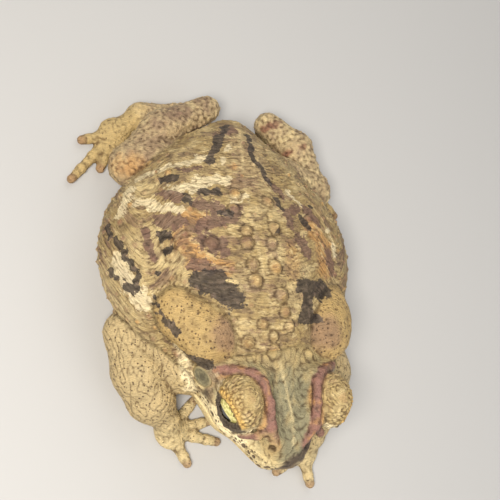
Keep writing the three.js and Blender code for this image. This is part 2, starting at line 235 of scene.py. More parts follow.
@dataclass
class Noise:
    """Smooth random values in space, from a fixed seed."""

    seed: int
    table: np.ndarray = field(init=False)
    slopes: np.ndarray = field(init=False)

    def __post_init__(self) -> None:
        """Draws the table of slopes."""
        random = np.random.default_rng(self.seed)
        self.table = np.tile(random.permutation(256), 2)
        slopes = random.normal(size=(256, 3))
        self.slopes = (slopes / np.linalg.norm(slopes, axis=1)[:, None]).astype(np.float32)

    def __call__(self, p: np.ndarray) -> np.ndarray:
        """Works out the noise.

        Args:
            p: Places, in units of the noise's swings.

        Returns:
            One value from about -1 to 1 for each place.
        """
        cell = np.floor(p).astype(np.int64)
        f = (p - cell).astype(np.float32)
        w = f * f * f * (f * (f * 6 - 15) + 10)
        total = np.zeros(len(p), np.float32)
        for corner in np.ndindex(2, 2, 2):
            i, j, k = ((cell + corner) & 255).T
            slope = self.slopes[self.table[self.table[self.table[i] + j] + k]]
            weight = np.prod(np.where(corner, w, 1 - w), axis=1)
            total += weight * (slope * (f - np.array(corner, np.float32))).sum(1)
        return total * 1.6

    def ridges(self, p: np.ndarray) -> np.ndarray:
        """Gives thin raised lines, from 0 between them to 1 on them."""
        return 1 - np.minimum(np.abs(self(p)) * 2.2, 1)

    def grains(self, p: np.ndarray, radius: float) -> np.ndarray:
        """Gives round bumps, about one to a unit cube.

        Args:
            p: Places, in units of the spacing between bumps.
            radius: The bumps' radius, in the same units.

        Returns:
            0 between the bumps, and 1 at the top of each.
        """
        cell = np.floor(p).astype(np.int64)
        nearest = np.full(len(p), 9.0, np.float32)
        for corner in np.ndindex(3, 3, 3):
            at = cell + np.array(corner) - 1
            i, j, k = (at & 255).T
            shift = self.slopes[self.table[self.table[self.table[i] + j] + k]]
            away = at + 0.5 + 0.38 * shift - p
            nearest = np.minimum(nearest, (away**2).sum(1))
        return np.maximum(1 - nearest / radius**2, 0) ** 1.5


# The toad's form, from the same values as its solids

SPINE_BOW = -6.0  # mm, to the toad's left
BOW_MIDDLE = 12.0
BOW_REACH = 58.0


def on_head(side: Side, p: Point) -> Point:
    """Turns a place on the left half of a centred head into a place on the toad."""
    return (side.value * p[0] + Form.head_shift, p[1], p[2])


def spine_x(y: float | np.ndarray) -> float | np.ndarray:
    """Gives how far the bowed spine lies to the toad's left at y."""
    return SPINE_BOW * np.maximum(0.0, 1 - ((y - BOW_MIDDLE) / BOW_REACH) ** 2)


def neck_x(y: float) -> float:
    """Gives where the midline lies between the head and the bowed back."""
    return -4.95 - 0.232 * y


@dataclass(frozen=True)
class Limb:
    """The joints of an arm and a leg on one side, as posed."""

    shoulder: Point
    elbow: Point
    forearm: tuple[Point, Point]
    wrist: Point
    palm: Point
    fingers: tuple[tuple[float, float], ...]
    hip: Point
    knee: Point
    calf: Point
    heel: Point
    tarsus: Point
    sole: Point
    toes: tuple[tuple[float, float], ...]


POSE = {
    Side.RIGHT: Limb(
        shoulder=(-26.5, -27.5, 16), elbow=(-47, -13.5, 12.5),
        forearm=((-42.6, -28, 12), (-38, -38, 10)), wrist=(-31, -45.5, 6.5), palm=(-28.2, -49.5, 2.6),
        fingers=((-17.5, -38.5), (-12, -46.5), (-9.2, -54.5), (-21.9, -61.9)),
        hip=(-13, 52, 17), knee=(-40, 54, 11), calf=(-28, 69, 14), heel=(-6.5, 80.5, 13),
        tarsus=(-33, 78, 5.5), sole=(-44, 70, 2.8),
        toes=((-38.5, 60), (-42.5, 55.5), (-50, 55), (-61.9, 49.8), (-57.1, 66.7)),
    ),
    Side.LEFT: Limb(
        shoulder=(24, -26.5, 17), elbow=(37, -16, 12.5),
        forearm=((37, -30, 12), (35.5, -42, 10)), wrist=(31, -55, 6.5), palm=(28.5, -60, 2.6),
        fingers=((17.5, -51), (12.5, -60), (15.7, -67.7), (30.5, -73.5)),
        hip=(11, 51, 17), knee=(39.5, 47.5, 12), calf=(33, 66, 14), heel=(22.5, 77, 12),
        tarsus=(40, 64, 5), sole=(45.5, 54.5, 2.8),
        toes=((39.5, 41), (42.5, 33), (47.5, 30.5), (54, 32.5), (57.5, 41)),
    ),
}


@dataclass(frozen=True)
class Form:
    """The flesh without its skin detail, part by part."""

    head_shift: float = 0.7
    lid_centre: Point = (18.2, -44.8, 42.4)
    lid_radii: Point = (8.2, 10.2, 9.0)
    eye_centre: Point = (18.3, -45.0, 42.2)
    eye_radius: float = 6.8
    look_out: Point = (0.93, -0.35, 0.1)
    look_front: Point = (-0.355, -0.9, 0.26)
    lids_meet: float = 5.2
    digit_z: float = 1.7
    mouth: tuple[tuple[float, float], ...] = (
        (-10, 16.5), (-24, 18), (-34, 18.9), (-43.5, 20.6), (-53, 23.6), (-61, 27.2), (-67, 29.6), (-80, 33),
    )
    crest_lines: tuple[tuple[Point, ...], ...] = (
        (
            (3.4, -63, 37.6), (5.6, -59.5, 41.8), (8.8, -54, 46.2), (9.4, -46, 48.4),
            (10.8, -38.5, 47.8), (14, -35, 45.8), (19, -33.2, 42.4), (24, -31.6, 37.4),
        ),
        ((8.8, -54, 45.6), (12.6, -56.2, 42.6), (16.6, -55, 36.6)),
    )
    drum_near: Point = (25.8, -32.8, 31.2)
    nostril_near: Point = (7.0, -60.7, 42.0)
    nostril_depth: float = 2.0
    seat_depth: float = 0.7
    crest_proud: float = 0.2
    fold: float = 1.6
    jaw_fillet: float = 3.0
    neck_fillet: float = 7.0
    brow_fillet: float = 0.6
    wrist_fillet: float = 2.5
    limb_fillet: float = 2.2
    lid_edge: float = 0.5
    floor_edge: float = 0.4

    def trunk(self) -> Melt:
        """Belly, upper back, chest, loins, rump, and the ridge over the pelvis.

        Returns:
            The trunk as one field.
        """
        return Melt(
            (
                Blob((spine_x(14), 14, 20.5), (52.5, 45, 25)),
                Blob((-5, 2, 28), (27, 36, 20)),
                Blob((-2, -13, 22), (33, 29, 22)),
                Blob((-4, 42, 18), (30, 27, 19)),
                Blob((-1.5, 56, 16), (15, 15, 11)),
                Rod((-5.5, 34, 32), (-0.5, 66, 20), 8, 5),
            ),
            8,
        )

    def head_chain(self, side: Side, points: Sequence[Point], radii: Sequence[float]) -> Melt:
        """Rods along the head on one side."""
        return chain([on_head(side, p) for p in points], radii)

    def skull(self) -> Melt:
        """Cranium, brow, snout, lip rims, brow ridges and the bases of the lids.

        Returns:
            The upper head as one field.
        """
        fields: list[Field] = [
            Blob((self.head_shift, -34, 30), (24.5, 19, 14.5)),
            Blob((self.head_shift, -43, 34), (12, 13, 10)),
            Blob((self.head_shift, -52, 33.5), (10.5, 14.5, 10.5)),
        ]
        base = tuple(r - 1 for r in self.lid_radii)
        lip = (20.5, -27, 23.5), (14, -47, 27.2), (4.4, -61.5, 32.3)
        for side in Side:
            fields += [
                self.head_chain(side, lip, [7, 6.5, 5.5]),
                self.head_chain(side, [(12, -36.5, 44), (9.2, -52, 44), (3.2, -62, 37)], [2.8, 3, 3.8]),
                self.head_chain(side, [(11, -36.5, 44), (23.5, -31, 35.5)], [2.8, 3]),
                Blob(on_head(side, self.lid_centre), base),
            ]
        return Melt(tuple(fields), 4.5)

    def jaw(self) -> Melt:
        """Throat and the rims of the lower jaw.

        Returns:
            The lower jaw as one field.
        """
        rims = [
            self.head_chain(side, [(20.5, -25.5, 15), (12.8, -46, 20.4), (4, -59.5, 26.2)], [7, 6, 5])
            for side in Side
        ]
        return Melt((Blob((self.head_shift, -34, 17), (22.5, 20, 11)), *rims), 6)

    def gland(self, side: Side) -> Melt:
        """The broad front lobe and the smaller rear lobe of a gland.

        Args:
            side: The toad's side.

        Returns:
            The gland as one field.
        """
        lobes = ((23.4, -18.4, 36, (11.6, 11.6, 8.8)), (31, -8.5, 32.5, (9, 10.5, 8)))
        blobs = (Blob((neck_x(y) + side.value * out, y, z), radii) for out, y, z, radii in lobes)
        return Melt(tuple(blobs), 8)

    def arm(self, side: Side) -> Melt:
        """Upper arm and forearm, with the fold of the elbow between them.

        Args:
            side: The toad's side.

        Returns:
            The arm as one field.
        """
        at = POSE[side]
        upper = chain([at.shoulder, at.elbow], [10, 8.4])
        lower = chain([at.elbow, *at.forearm, at.wrist], [8, 10, 8.7, 4.8])
        return Melt((upper, lower), self.fold)

    def leg(self, side: Side) -> Melt:
        """Thigh, shank and tarsus, folded against each other.

        Args:
            side: The toad's side.

        Returns:
            The leg as one field.
        """
        at = POSE[side]
        start = tuple(h + 0.15 * (t - h) for h, t in zip(at.heel, at.tarsus))
        thigh = chain([at.hip, at.knee], [12.5, 9.3])
        shank = chain([at.knee, at.calf, at.heel], [8, 7.4, 5.6])
        tarsus = chain([(start[0], start[1], 6.5), at.tarsus], [5.4, 5.2])
        return Melt((thigh, shank, tarsus), self.fold)

    def digit(self, base: Point, tip: tuple[float, float]) -> Melt:
        """A finger or toe, a little thicker at its joints and its tip.

        Args:
            base: Where it starts, in the palm or sole.
            tip: The x and y of its end.

        Returns:
            The digit as one field.
        """
        reach = np.array([*tip, self.digit_z]) - np.array(base)
        along = (0.2, 0.5, 0.62, 0.78, 0.88, 1.0)
        points = [tuple(np.array(base) + t * reach)[:2] + (self.digit_z,) for t in along]
        return chain(points, [2.5, 2.1, 1.75, 1.95, 1.6, 1.8], 1.2)

    def hand(self, side: Side) -> Melt:
        """Palm and four fingers.

        Args:
            side: The toad's side.

        Returns:
            The hand as one field.
        """
        at = POSE[side]
        palm = Melt((Blob(at.palm, (6.4, 6.8, 3.6)), Rod(at.wrist, at.palm, 4.6, 3.4)), 3)
        return Melt((palm, *(self.digit(at.palm, tip) for tip in at.fingers)), 1.8)

    def foot(self, side: Side) -> Melt:
        """Sole, five toes, and the webs between them.

        Args:
            side: The toad's side.

        Returns:
            The foot as one field.
        """
        at = POSE[side]
        sole = Melt((Blob(at.sole, (6.4, 7, 3.6)), Rod(at.tarsus, at.sole, 5.2, 3.6)), 3)
        webs = [Web(at.sole, a, b) for a, b in zip(at.toes, at.toes[1:])]
        return Melt((sole, *(self.digit(at.sole, tip) for tip in at.toes), *webs), 1.8)

    def crest(self, side: Side) -> Melt:
        """The bony cords over and in front of one eye.

        Args:
            side: The toad's side.

        Returns:
            Both cords as one field.
        """
        brow, fore = [[on_head(side, p) for p in points] for points in self.crest_lines]
        brow_radii = [0.9, 1.1, 1.25, 1.25, 1.25, 1.25, 1.2, 1.0]
        return Melt((chain(brow, brow_radii, 1.0), chain(fore, [1.1, 1.1, 0.8], 1.0)), 1.5)

    def lid(self, side: Side) -> Blob:
        """The dome of the upper lid over one eye."""
        return Blob(on_head(side, self.lid_centre), self.lid_radii)

    def looking(self, side: Side) -> tuple[np.ndarray, np.ndarray, np.ndarray]:
        """Finds how one eye's opening is turned.

        Args:
            side: The toad's side.

        Returns:
            The directions out of the opening, above it and ahead of it.
        """
        s = side.value
        out, front = (np.array([s * v[0], v[1], v[2]]) for v in (self.look_out, self.look_front))
        out, front = out / np.linalg.norm(out), front / np.linalg.norm(front)
        up = s * np.cross(front, out)
        return out, up / np.linalg.norm(up), front

    def eye_hole(self, side: Side, p: np.ndarray) -> np.ndarray:
        """Works out the opening between the lids, and the eye's room behind it.

        Args:
            side: The toad's side.
            p: Points in mm.

        Returns:
            The distance from the opening's edge for each point, negative inside it.
        """
        out, up, _ = self.looking(side)
        q = p - np.array(on_head(side, self.lid_centre))
        x, y = q @ out - self.lids_meet, q @ up
        above, below = math.radians(68), math.radians(60)
        upper_edge = y * math.cos(above) - x * math.sin(above)
        wedge = np.maximum(upper_edge, -y * math.cos(below) - x * math.sin(below))
        wedge = np.maximum(wedge, np.linalg.norm(q, axis=1) - 11.5)
        r = p - np.array(on_head(side, self.eye_centre))
        room = np.maximum(np.linalg.norm(r, axis=1) - self.eye_radius - 0.12, 2.5 - r @ out)
        return np.minimum(wedge, room)

    def mouth_depth(self, p: np.ndarray) -> np.ndarray:
        """Gives how far above the line of the mouth each point lies."""
        y, z = np.array(self.mouth).T
        return p[:, 2] - np.interp(-p[:, 1], -y, z)

    def body(self, p: np.ndarray) -> np.ndarray:
        """Gives the field of trunk, head and jaw, without what stands on them."""
        head = smooth_min(self.skull()(p), self.jaw()(p), self.jaw_fillet)
        return smooth_min(self.trunk()(p), head, self.neck_fillet)

    def skin(self, p: np.ndarray) -> np.ndarray:
        """Works out the whole flesh, cut flat at the floor.

        Args:
            p: Points in mm.

        Returns:
            The distance from the skin for each point, negative inside.
        """
        body = self.body(p)
        ahead = (smooth_step(-18, -30, p[:, 1]) * smooth_step(0, 6, p[:, 2])).astype(p.dtype)
        body = body + 0.9 * ahead * np.exp(-((self.mouth_depth(p) / 0.5) ** 2))
        for side in Side:
            body = smooth_min(body, self.gland(side)(p), self.fold)
            body = smooth_min(body, self.crest(side)(p) - self.crest_proud, self.brow_fillet)
            body = smooth_min(body, self.lid(side)(p), self.brow_fillet)
            arm = smooth_min(self.arm(side)(p), self.hand(side)(p), self.wrist_fillet)
            leg = smooth_min(self.leg(side)(p), self.foot(side)(p), self.wrist_fillet)
            body = smooth_min(body, np.minimum(arm, leg), self.limb_fillet)
        for side in Side:
            body = smooth_max(body, -self.eye_hole(side, p), self.lid_edge)
            body = body + self.nostril_pit(side, p) + self.drum_pit(side, p)
        return smooth_max(body, -p[:, 2], self.floor_edge)

    def nostril_pit(self, side: Side, p: np.ndarray) -> np.ndarray:
        """Gives how deep the nostril and its raised rim make the surface."""
        away = np.linalg.norm(p - np.array(on_head(side, self.nostril_near)), axis=1)
        return self.nostril_depth * np.exp(-(away**2)) - 0.2 * np.exp(-(((away - 2.0) / 0.7) ** 2))

    def drum_pit(self, side: Side, p: np.ndarray) -> np.ndarray:
        """Gives how deep the seat of an ear drum and its raised rim make the surface."""
        away = np.linalg.norm(p - np.array(on_head(side, self.drum_near)), axis=1)
        return self.seat_depth * smooth_step(4.6, 3.9, away) - 0.3 * np.exp(-(((away - 5.0) / 0.6) ** 2))


@dataclass(frozen=True)
class Web:
    """The skin between two toes, as a thin plate with a hollow edge."""

    base: Point
    tip_a: tuple[float, float]
    tip_b: tuple[float, float]
    middle_z: float = 1.3
    half_thickness: float = 0.5
    reach: float = 0.6
    hollow: float = 0.3

    def __call__(self, p: np.ndarray) -> np.ndarray:
        """Measures how far points lie from the web.

        Args:
            p: Points in mm.

        Returns:
            The distance from the surface, negative inside.
        """
        middle = np.array(self.base[:2])
        a, b = np.array(self.tip_a) - middle, np.array(self.tip_b) - middle
        q = p[:, :2] - middle
        turn_b = math.atan2(a[0] * b[1] - a[1] * b[0], a @ b)
        turn = np.arctan2(a[0] * q[:, 1] - a[1] * q[:, 0], q @ a)
        share = turn / turn_b
        r = np.linalg.norm(q, axis=1)
        beside = r * abs(turn_b) * np.maximum(-share, share - 1)
        t = np.clip(share, 0, 1)
        toe = np.linalg.norm(a) * (1 - t) + np.linalg.norm(b) * t
        edge = self.reach * toe * (1 - self.hollow * np.sin(math.pi * t))
        thick = np.abs(p[:, 2] - self.middle_z) - self.half_thickness
        return np.maximum(np.maximum(r - edge, beside), thick)

    def box(self) -> tuple[np.ndarray, np.ndarray]:
        """Gives the lowest and highest corner."""
        corners = np.array([(*self.base[:2], 0), (*self.tip_a, 0), (*self.tip_b, 3)])
        return corners.min(0), corners.max(0)


# Meshes


def toad_origin() -> np.ndarray:
    """Finds where the toad frame's origin lies, from the right eye's place.

    Returns:
        The origin in the solids' frame, in mm.
    """
    low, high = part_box("eye_right")
    middle = np.array((low + high) / 2) / MM
    return middle - np.array(on_head(Side.RIGHT, Form.eye_centre))


def solids_box() -> tuple[np.ndarray, np.ndarray]:
    """Gives the lowest and highest corner of the solids in the toad frame, in mm."""
    low, high = (np.array(corner) / MM - toad_origin() for corner in CAD_BOX)
    return low, high


def room_left(p: np.ndarray) -> np.ndarray:
    """Gives how far each point lies inside the sides and the top of the solids' box, in mm."""
    low, high = solids_box()
    return np.minimum((high - p).min(1), (p - low)[:, :2].min(1))


def mesh_object(name: str, points: np.ndarray, faces: np.ndarray) -> bpy.types.Object:
    """Makes a smooth-shaded object from points in the toad frame.

    Args:
        name: The piece's name.
        points: One row for each point, in mm.
        faces: One row of point numbers for each face, all with as many corners.

    Returns:
        The new object, at the origin, in metres in the row frame.
    """
    mesh = bpy.data.meshes.new(name)
    count, corners = faces.shape
    mesh.vertices.add(len(points))
    mesh.vertices.foreach_set("co", ((points + toad_origin()) * MM).astype(np.float32).ravel())
    mesh.loops.add(count * corners)
    mesh.loops.foreach_set("vertex_index", faces.astype(np.int32).ravel())
    mesh.polygons.add(count)
    mesh.polygons.foreach_set("loop_start", np.arange(0, count * corners, corners, dtype=np.int32))
    mesh.update(calc_edges=True)
    mesh.validate()
    mesh.shade_smooth()
    obj = bpy.data.objects.new(name, mesh)
    bpy.context.scene.collection.objects.link(obj)
    return obj


def points_of(mesh: bpy.types.Mesh) -> np.ndarray:
    """Reads where a mesh's points are.

    Args:
        mesh: The mesh.

    Returns:
        One row for each point, in mm in the toad frame.
    """
    co = np.empty(len(mesh.vertices) * 3, np.float32)
    mesh.vertices.foreach_get("co", co)
    return co.reshape(-1, 3).astype(np.float64) / MM - toad_origin()


def normals_of(mesh: bpy.types.Mesh) -> np.ndarray:
    """Reads which way a mesh's surface faces.

    Args:
        mesh: The mesh.

    Returns:
        The outward direction at each point.
    """
    normals = np.empty(len(mesh.vertices) * 3, np.float32)
    mesh.vertex_normals.foreach_get("vector", normals)
    return normals.reshape(-1, 3).astype(np.float64)


def move_points(mesh: bpy.types.Mesh, points: np.ndarray) -> None:
    """Sets a mesh's points from places in the toad frame, in mm."""
    mesh.vertices.foreach_set("co", ((points + toad_origin()) * MM).astype(np.float32).ravel())
    mesh.update()


def store(mesh: bpy.types.Mesh, name: str, values: np.ndarray) -> None:
    """Keeps values on a mesh's points, as numbers, vectors or colours by their width.

    Args:
        mesh: The mesh.
        name: The name that materials read the values by.
        values: One value or row for each point.
    """
    kinds = {1: ("FLOAT", "value"), 3: ("FLOAT_VECTOR", "vector"), 4: ("FLOAT_COLOR", "color")}
    width = 1 if values.ndim == 1 else values.shape[1]
    kind, key = kinds[width]
    attribute = mesh.attributes.new(name, kind, "POINT")
    attribute.data.foreach_set(key, values.astype(np.float32).ravel())


def smoothed(mesh: bpy.types.Mesh, values: np.ndarray, rounds: int) -> np.ndarray:
    """Evens out values over a mesh.

    Args:
        mesh: The mesh whose points carry the values.
        values: One row for each point.
        rounds: How many rings of neighbours each mean takes in.

    Returns:
        The evened rows.
    """
    edges = np.empty(len(mesh.edges) * 2, np.int32)
    mesh.edges.foreach_get("vertices", edges)
    a, b = edges.reshape(-1, 2).T
    mean, count = values.copy(), len(values)
    share = np.bincount(a, minlength=count) + np.bincount(b, minlength=count) + 1.0
    for _ in range(rounds):
        total = mean.copy()
        for axis in range(values.shape[1]):
            total[:, axis] += np.bincount(a, mean[b, axis], count) + np.bincount(b, mean[a, axis], count)
        mean = total / share[:, None]
    return mean


def hollowness(mesh: bpy.types.Mesh, rounds: int) -> np.ndarray:
    """Gives how far each point lies below its surroundings, without the roundness of the whole limb.

    Args:
        mesh: The mesh to measure.
        rounds: How many rings of neighbours count as a point's surroundings.

    Returns:
        One value in mm for each point, positive in hollows and negative on ridges.
    """
    points = points_of(mesh)
    depth = ((smoothed(mesh, points, rounds) - points) * normals_of(mesh)).sum(1)
    return depth - smoothed(mesh, depth[:, None], 3 * rounds)[:, 0]


@dataclass
class Cloud:
    """Points sorted by their y, so that those close to a place are found quickly."""

    points: np.ndarray
    order: np.ndarray = field(init=False)

    def __post_init__(self) -> None:
        """Sorts the points."""
        self.order = np.argsort(self.points[:, 1])

    def around(self, place: np.ndarray, reach: float) -> tuple[np.ndarray, np.ndarray]:
        """Finds the points close to a place.

        Args:
            place: The place, in mm.
            reach: The greatest distance, in mm.

        Returns:
            The points' numbers and their distances.
        """
        rows = self.points[self.order, 1]
        first, last = np.searchsorted(rows, [place[1] - reach, place[1] + reach])
        index = self.order[first:last]
        away = np.linalg.norm(self.points[index] - place, axis=1)
        return index[away < reach], away[away < reach]


@dataclass(frozen=True)
class Carver:
    """Turns a field into a closed mesh of small, even squares."""

    step: float = 0.46
    block: int = 4
    band: float = 2.4
    half_diagonal: float = 0.87
    batch: int = 400_000

    def surface(self, shape: Field, low: np.ndarray, high: np.ndarray) -> tuple[np.ndarray, np.ndarray]:
        """Finds the surface where a field is zero.

        Args:
            shape: The field.
            low: Lowest corner of the room that holds the surface, in mm.
            high: Highest corner of that room.

        Returns:
            The points, in mm, and the squares' point numbers, facing outwards.
        """
        wide = self.step * self.block
        counts = np.ceil((high - low) / wide).astype(int)
        middles = (np.indices(counts).reshape(3, -1).T + 0.5) * wide - self.step / 2 + low
        rough = self.values(shape, middles)
        near = np.abs(rough) < self.band + wide * self.half_diagonal
        log.info("the skin passes through %d of %d blocks", near.sum(), len(near))
        inner = np.indices((self.block,) * 3).reshape(3, -1).T * self.step
        corners = middles[near] - (wide - self.step) / 2
        fine = self.values(shape, (corners[:, None, :] + inner).reshape(-1, 3))
        volume = np.empty((*counts, self.block, self.block, self.block), np.float32)
        volume[:] = np.sign(rough).reshape(*counts, 1, 1, 1) * self.band
        volume[near.reshape(counts)] = fine.reshape(-1, self.block, self.block, self.block)
        volume = np.clip(volume, -self.band, self.band)
        volume = volume.transpose(0, 3, 1, 4, 2, 5).reshape(counts * self.block)
        grid = openvdb.FloatGrid(self.band)
        grid.copyFromArray(np.ascontiguousarray(volume))
        points, _, quads = grid.convertToPolygons(0.0, 0.0)
        return points * self.step + low, quads

    def values(self, shape: Field, p: np.ndarray) -> np.ndarray:
        """Gives a field's values at many places, a batch at a time."""
        parts = [shape(p[i : i + self.batch].astype(np.float32)) for i in range(0, len(p), self.batch)]
        return np.concatenate(parts)


# The skin


@dataclass
class Zones:
    """How much each point of the skin belongs to each part, from 0 to 1."""

    form: Form
    points: np.ndarray
    border: float = 0.8
    share: dict[str, np.ndarray] = field(init=False)

    def __post_init__(self) -> None:
        """Measures the distance to every part, and compares them."""
        away = {"trunk": self.form.trunk()(self.points)}
        away |= {"head": self.form.skull()(self.points), "jaw": self.form.jaw()(self.points)}
        for name in ("gland", "crest", "lid", "arm", "leg", "hand", "foot"):
            away[name] = self.nearer(getattr(self.form, name))
        table = np.array(list(away.values()))
        order = np.sort(table, axis=0)
        self.share = {}
        for name, distance in away.items():
            rival = np.where(distance <= order[0], order[1], order[0])
            self.share[name] = smooth_step(self.border, -self.border, distance - rival)

    def nearer(self, part: Callable[[Side], Field]) -> np.ndarray:
        """Gives the distance to a part of the nearer side."""
        return np.minimum(part(Side.RIGHT)(self.points), part(Side.LEFT)(self.points))

    def __getitem__(self, name: str) -> np.ndarray:
        """Gives one part's share."""
        return self.share[name]


@dataclass(frozen=True)
class Wart:
    """A round swelling of the skin, by its place in plan, in mm."""

    x: float
    y: float
    radius: float
    height: float


ROW_WARTS = (
    Wart(-11.2, 16.9, 2.2, 1.0), Wart(-11.5, 12.2, 2.4, 1.1), Wart(-10.2, 4.2, 2.3, 1.0),
    Wart(-9.5, -1.7, 2.5, 1.1), Wart(-7.4, -17.3, 1.9, 0.9), Wart(-13.0, -23.3, 2.2, 1.2),
    Wart(0.6, 18.6, 2.3, 1.2), Wart(-1.4, 12.5, 2.2, 1.0), Wart(-1.0, 3.0, 2.6, 1.1),
    Wart(0.3, -7.0, 2.6, 1.1), Wart(1.7, -12.7, 2.2, 1.0), Wart(3.5, -17.9, 2.0, 0.9),
    Wart(-3.1, -21.6, 1.8, 0.9), Wart(-3.1, -27.3, 2.4, 0.8), Wart(11.8, -27.9, 2.0, 0.8),
    Wart(-39.3, 12.7, 2.4, 1.2), Wart(-37.6, 8.5, 2.3, 1.1), Wart(-24.5, 12.5, 2.5, 1.1),
    Wart(-12.6, 32.5, 2.2, 0.8), Wart(0.4, 30.0, 2.2, 0.8), Wart(-14.2, 26.0, 2.0, 0.8),
)


@dataclass
class Relief:
    """The small forms of the skin: wrinkles, lumps, warts, granules and pores."""

    form: Form
    seed: int = 11
    wart_rise: float = 1.15
    row_spread: float = 1.15
    row_rise: float = 1.6
    tries: int = 5000
    spacing: float = 8.0
    flank_closer: float = 3.6
    warts: list[tuple[np.ndarray, float, float]] = field(default_factory=list)

    def heights(self, p: np.ndarray) -> np.ndarray:
        """Works out how far the skin's points stand out.

        Args:
            p: The points, in mm.

        Returns:
            A height for each point, in mm.
        """
        zones = Zones(self.form, p)
        noise, other = Noise(self.seed), Noise(self.seed + 1)
        flow = skin_flow(p)
        body = np.maximum(zones["trunk"], 0.35 * zones["leg"])
        patchy = 0.6 + 0.6 * noise(p / 11)
        creases = noise.ridges(flow / [7.5, 1.9, 6] + 0.35 * other(p / 4)[:, None]) ** 2
        finer = other.ridges(flow / [4.2, 1.15, 4] + 0.2 * noise(p / 3)[:, None]) ** 2
        height = -body * patchy * (0.3 * creases + 0.15 * finer)
        height += 0.4 * noise(p / 9) * (body + zones["gland"] + zones["leg"]) + 0.2 * body * other(p / 3)
        height += zones["leg"] * (0.6 * other.grains(p / 2.9, 0.5) * patchy + 0.2 * noise(p / 1.5))
        height += zones["arm"] * (0.2 * noise(p / 3.2) - 0.26 * other.ridges(p / [2.2, 5.0, 2.6]) ** 3)
        height += zones["gland"] * (0.25 * noise(p / 3.1) - 0.35 * other.grains(p / 2.0, 0.33))
        height += zones["head"] * (0.16 * noise(p / 2.4) - 0.2 * other.ridges(p / [2.6, 4.2, 2.6]) ** 2)
        height += zones["crest"] * (0.1 + 0.2 * noise(p / 1.9) + 0.12 * other(p / 0.9))
        ends = zones["hand"] + zones["foot"]
        height += ends * (0.12 * noise(p / 1.6) - 0.12 * other.ridges(p / 2.4) ** 2)
        low_skin = smooth_step(13, 6, p[:, 2]) * (zones["trunk"] + zones["jaw"])
        height += 0.22 * low_skin * noise.grains(p / 1.7, 0.55)
        height += zones["lid"] * self.lid_heights(p, noise)
        if not self.warts:
            self.warts = self.row_warts(p) + self.scattered_warts(p, zones)
        cloud = Cloud(p)
        for place, radius, rise in self.warts:
            index, away = cloud.around(place, 1.9 * radius)
            height[index] += self.wart_rise * rise * wart_profile(away / radius)
        return height * smooth_step(0.05, 1.2, p[:, 2])

    def lid_heights(self, p: np.ndarray, noise: Noise) -> np.ndarray:
        """Works out the granules of the upper lids, which lie in rings round each dome.

        Args:
            p: Points in mm.
            noise: A source of smooth random values.

        Returns:
            A height for each point, in mm.
        """
        height = np.zeros(len(p))
        for side in Side:
            out, up, front = self.form.looking(side)
            top = up - 0.15 * out
            q = p - np.array(on_head(side, self.form.lid_centre))
            near = np.linalg.norm(q, axis=1) < 13
            way = q[near] / np.linalg.norm(q[near], axis=1)[:, None]
            tilt = np.arccos(np.clip(way @ (top / np.linalg.norm(top)), -1, 1))
            turn = np.arctan2(way @ front, way @ out)
            rings = np.stack([tilt * 7.2, turn * np.sin(tilt) * 5.5, 0 * tilt], axis=1)
            rings += 0.25 * noise(p[near] / 2)[:, None]
            height[near] = 0.62 * noise.grains(rings, 0.62) - 0.2
        return height

    def row_warts(self, p: np.ndarray) -> list[tuple[np.ndarray, float, float]]:
        """Sets the larger warts on the back.

        Args:
            p: The skin's points, in mm.

        Returns:
            The place, radius and height of each wart.
        """
        upper = p[p[:, 2] > 25]
        places = [upper[np.hypot(*(upper[:, :2] - (w.x, w.y)).T).argmin()] for w in ROW_WARTS]
        sizes = [(self.row_spread * w.radius, self.row_rise * w.height) for w in ROW_WARTS]
        return [(place, *size) for place, size in zip(places, sizes)]

    def scattered_warts(self, p: np.ndarray, zones: Zones) -> list[tuple[np.ndarray, float, float]]:
        """Scatters smaller warts over flanks and back, well apart from each other.

        Args:
            p: The skin's points, in mm.
            zones: The parts that the points belong to.

        Returns:
            The place, radius and height of each wart.
        """
        random = np.random.default_rng(self.seed)
        found = [place for place, _, _ in self.row_warts(p)]
        warts = []
        for i in random.choice(np.nonzero((zones["trunk"] > 0.8) & (p[:, 2] > 8))[0], self.tries):
            flank = smooth_step(16, 30, abs(p[i, 0] - neck_x(min(p[i, 1], 12))))
            spacing = self.spacing - self.flank_closer * flank
            if np.min(np.linalg.norm(np.array(found) - p[i], axis=1)) > spacing:
                found.append(p[i])
                radius = random.uniform(0.8, 1.3) + 0.5 * flank * random.random()
                warts.append((p[i], radius, radius * random.uniform(0.25, 0.45)))
        log.info("%d small warts", len(warts))
        return warts


def skin_flow(p: np.ndarray) -> np.ndarray:
    """Gives places along and across the wrinkles, which cross the back and sweep down the flanks.

    Args:
        p: Points in mm.

    Returns:
        For each point, how far it lies along a wrinkle, across the wrinkles, and up.
    """
    across = p[:, 0] - spine_x(p[:, 1])
    reach = np.abs(across) / 50
    sweep = p[:, 1] - 30 * reach**3 + 0.75 * p[:, 2] * smooth_step(0.5, 0.9, reach)
    return np.stack([across, sweep, p[:, 2]], axis=1)


def wart_profile(share: np.ndarray) -> np.ndarray:
    """Gives a wart's height by the share of its radius, with a point on top and a moat round it."""
    dome = np.maximum(1 - share**2, 0) ** 1.5
    return dome + 0.3 * np.exp(-((share / 0.25) ** 2)) - 0.05 * np.exp(-(((share - 1.2) / 0.22) ** 2))


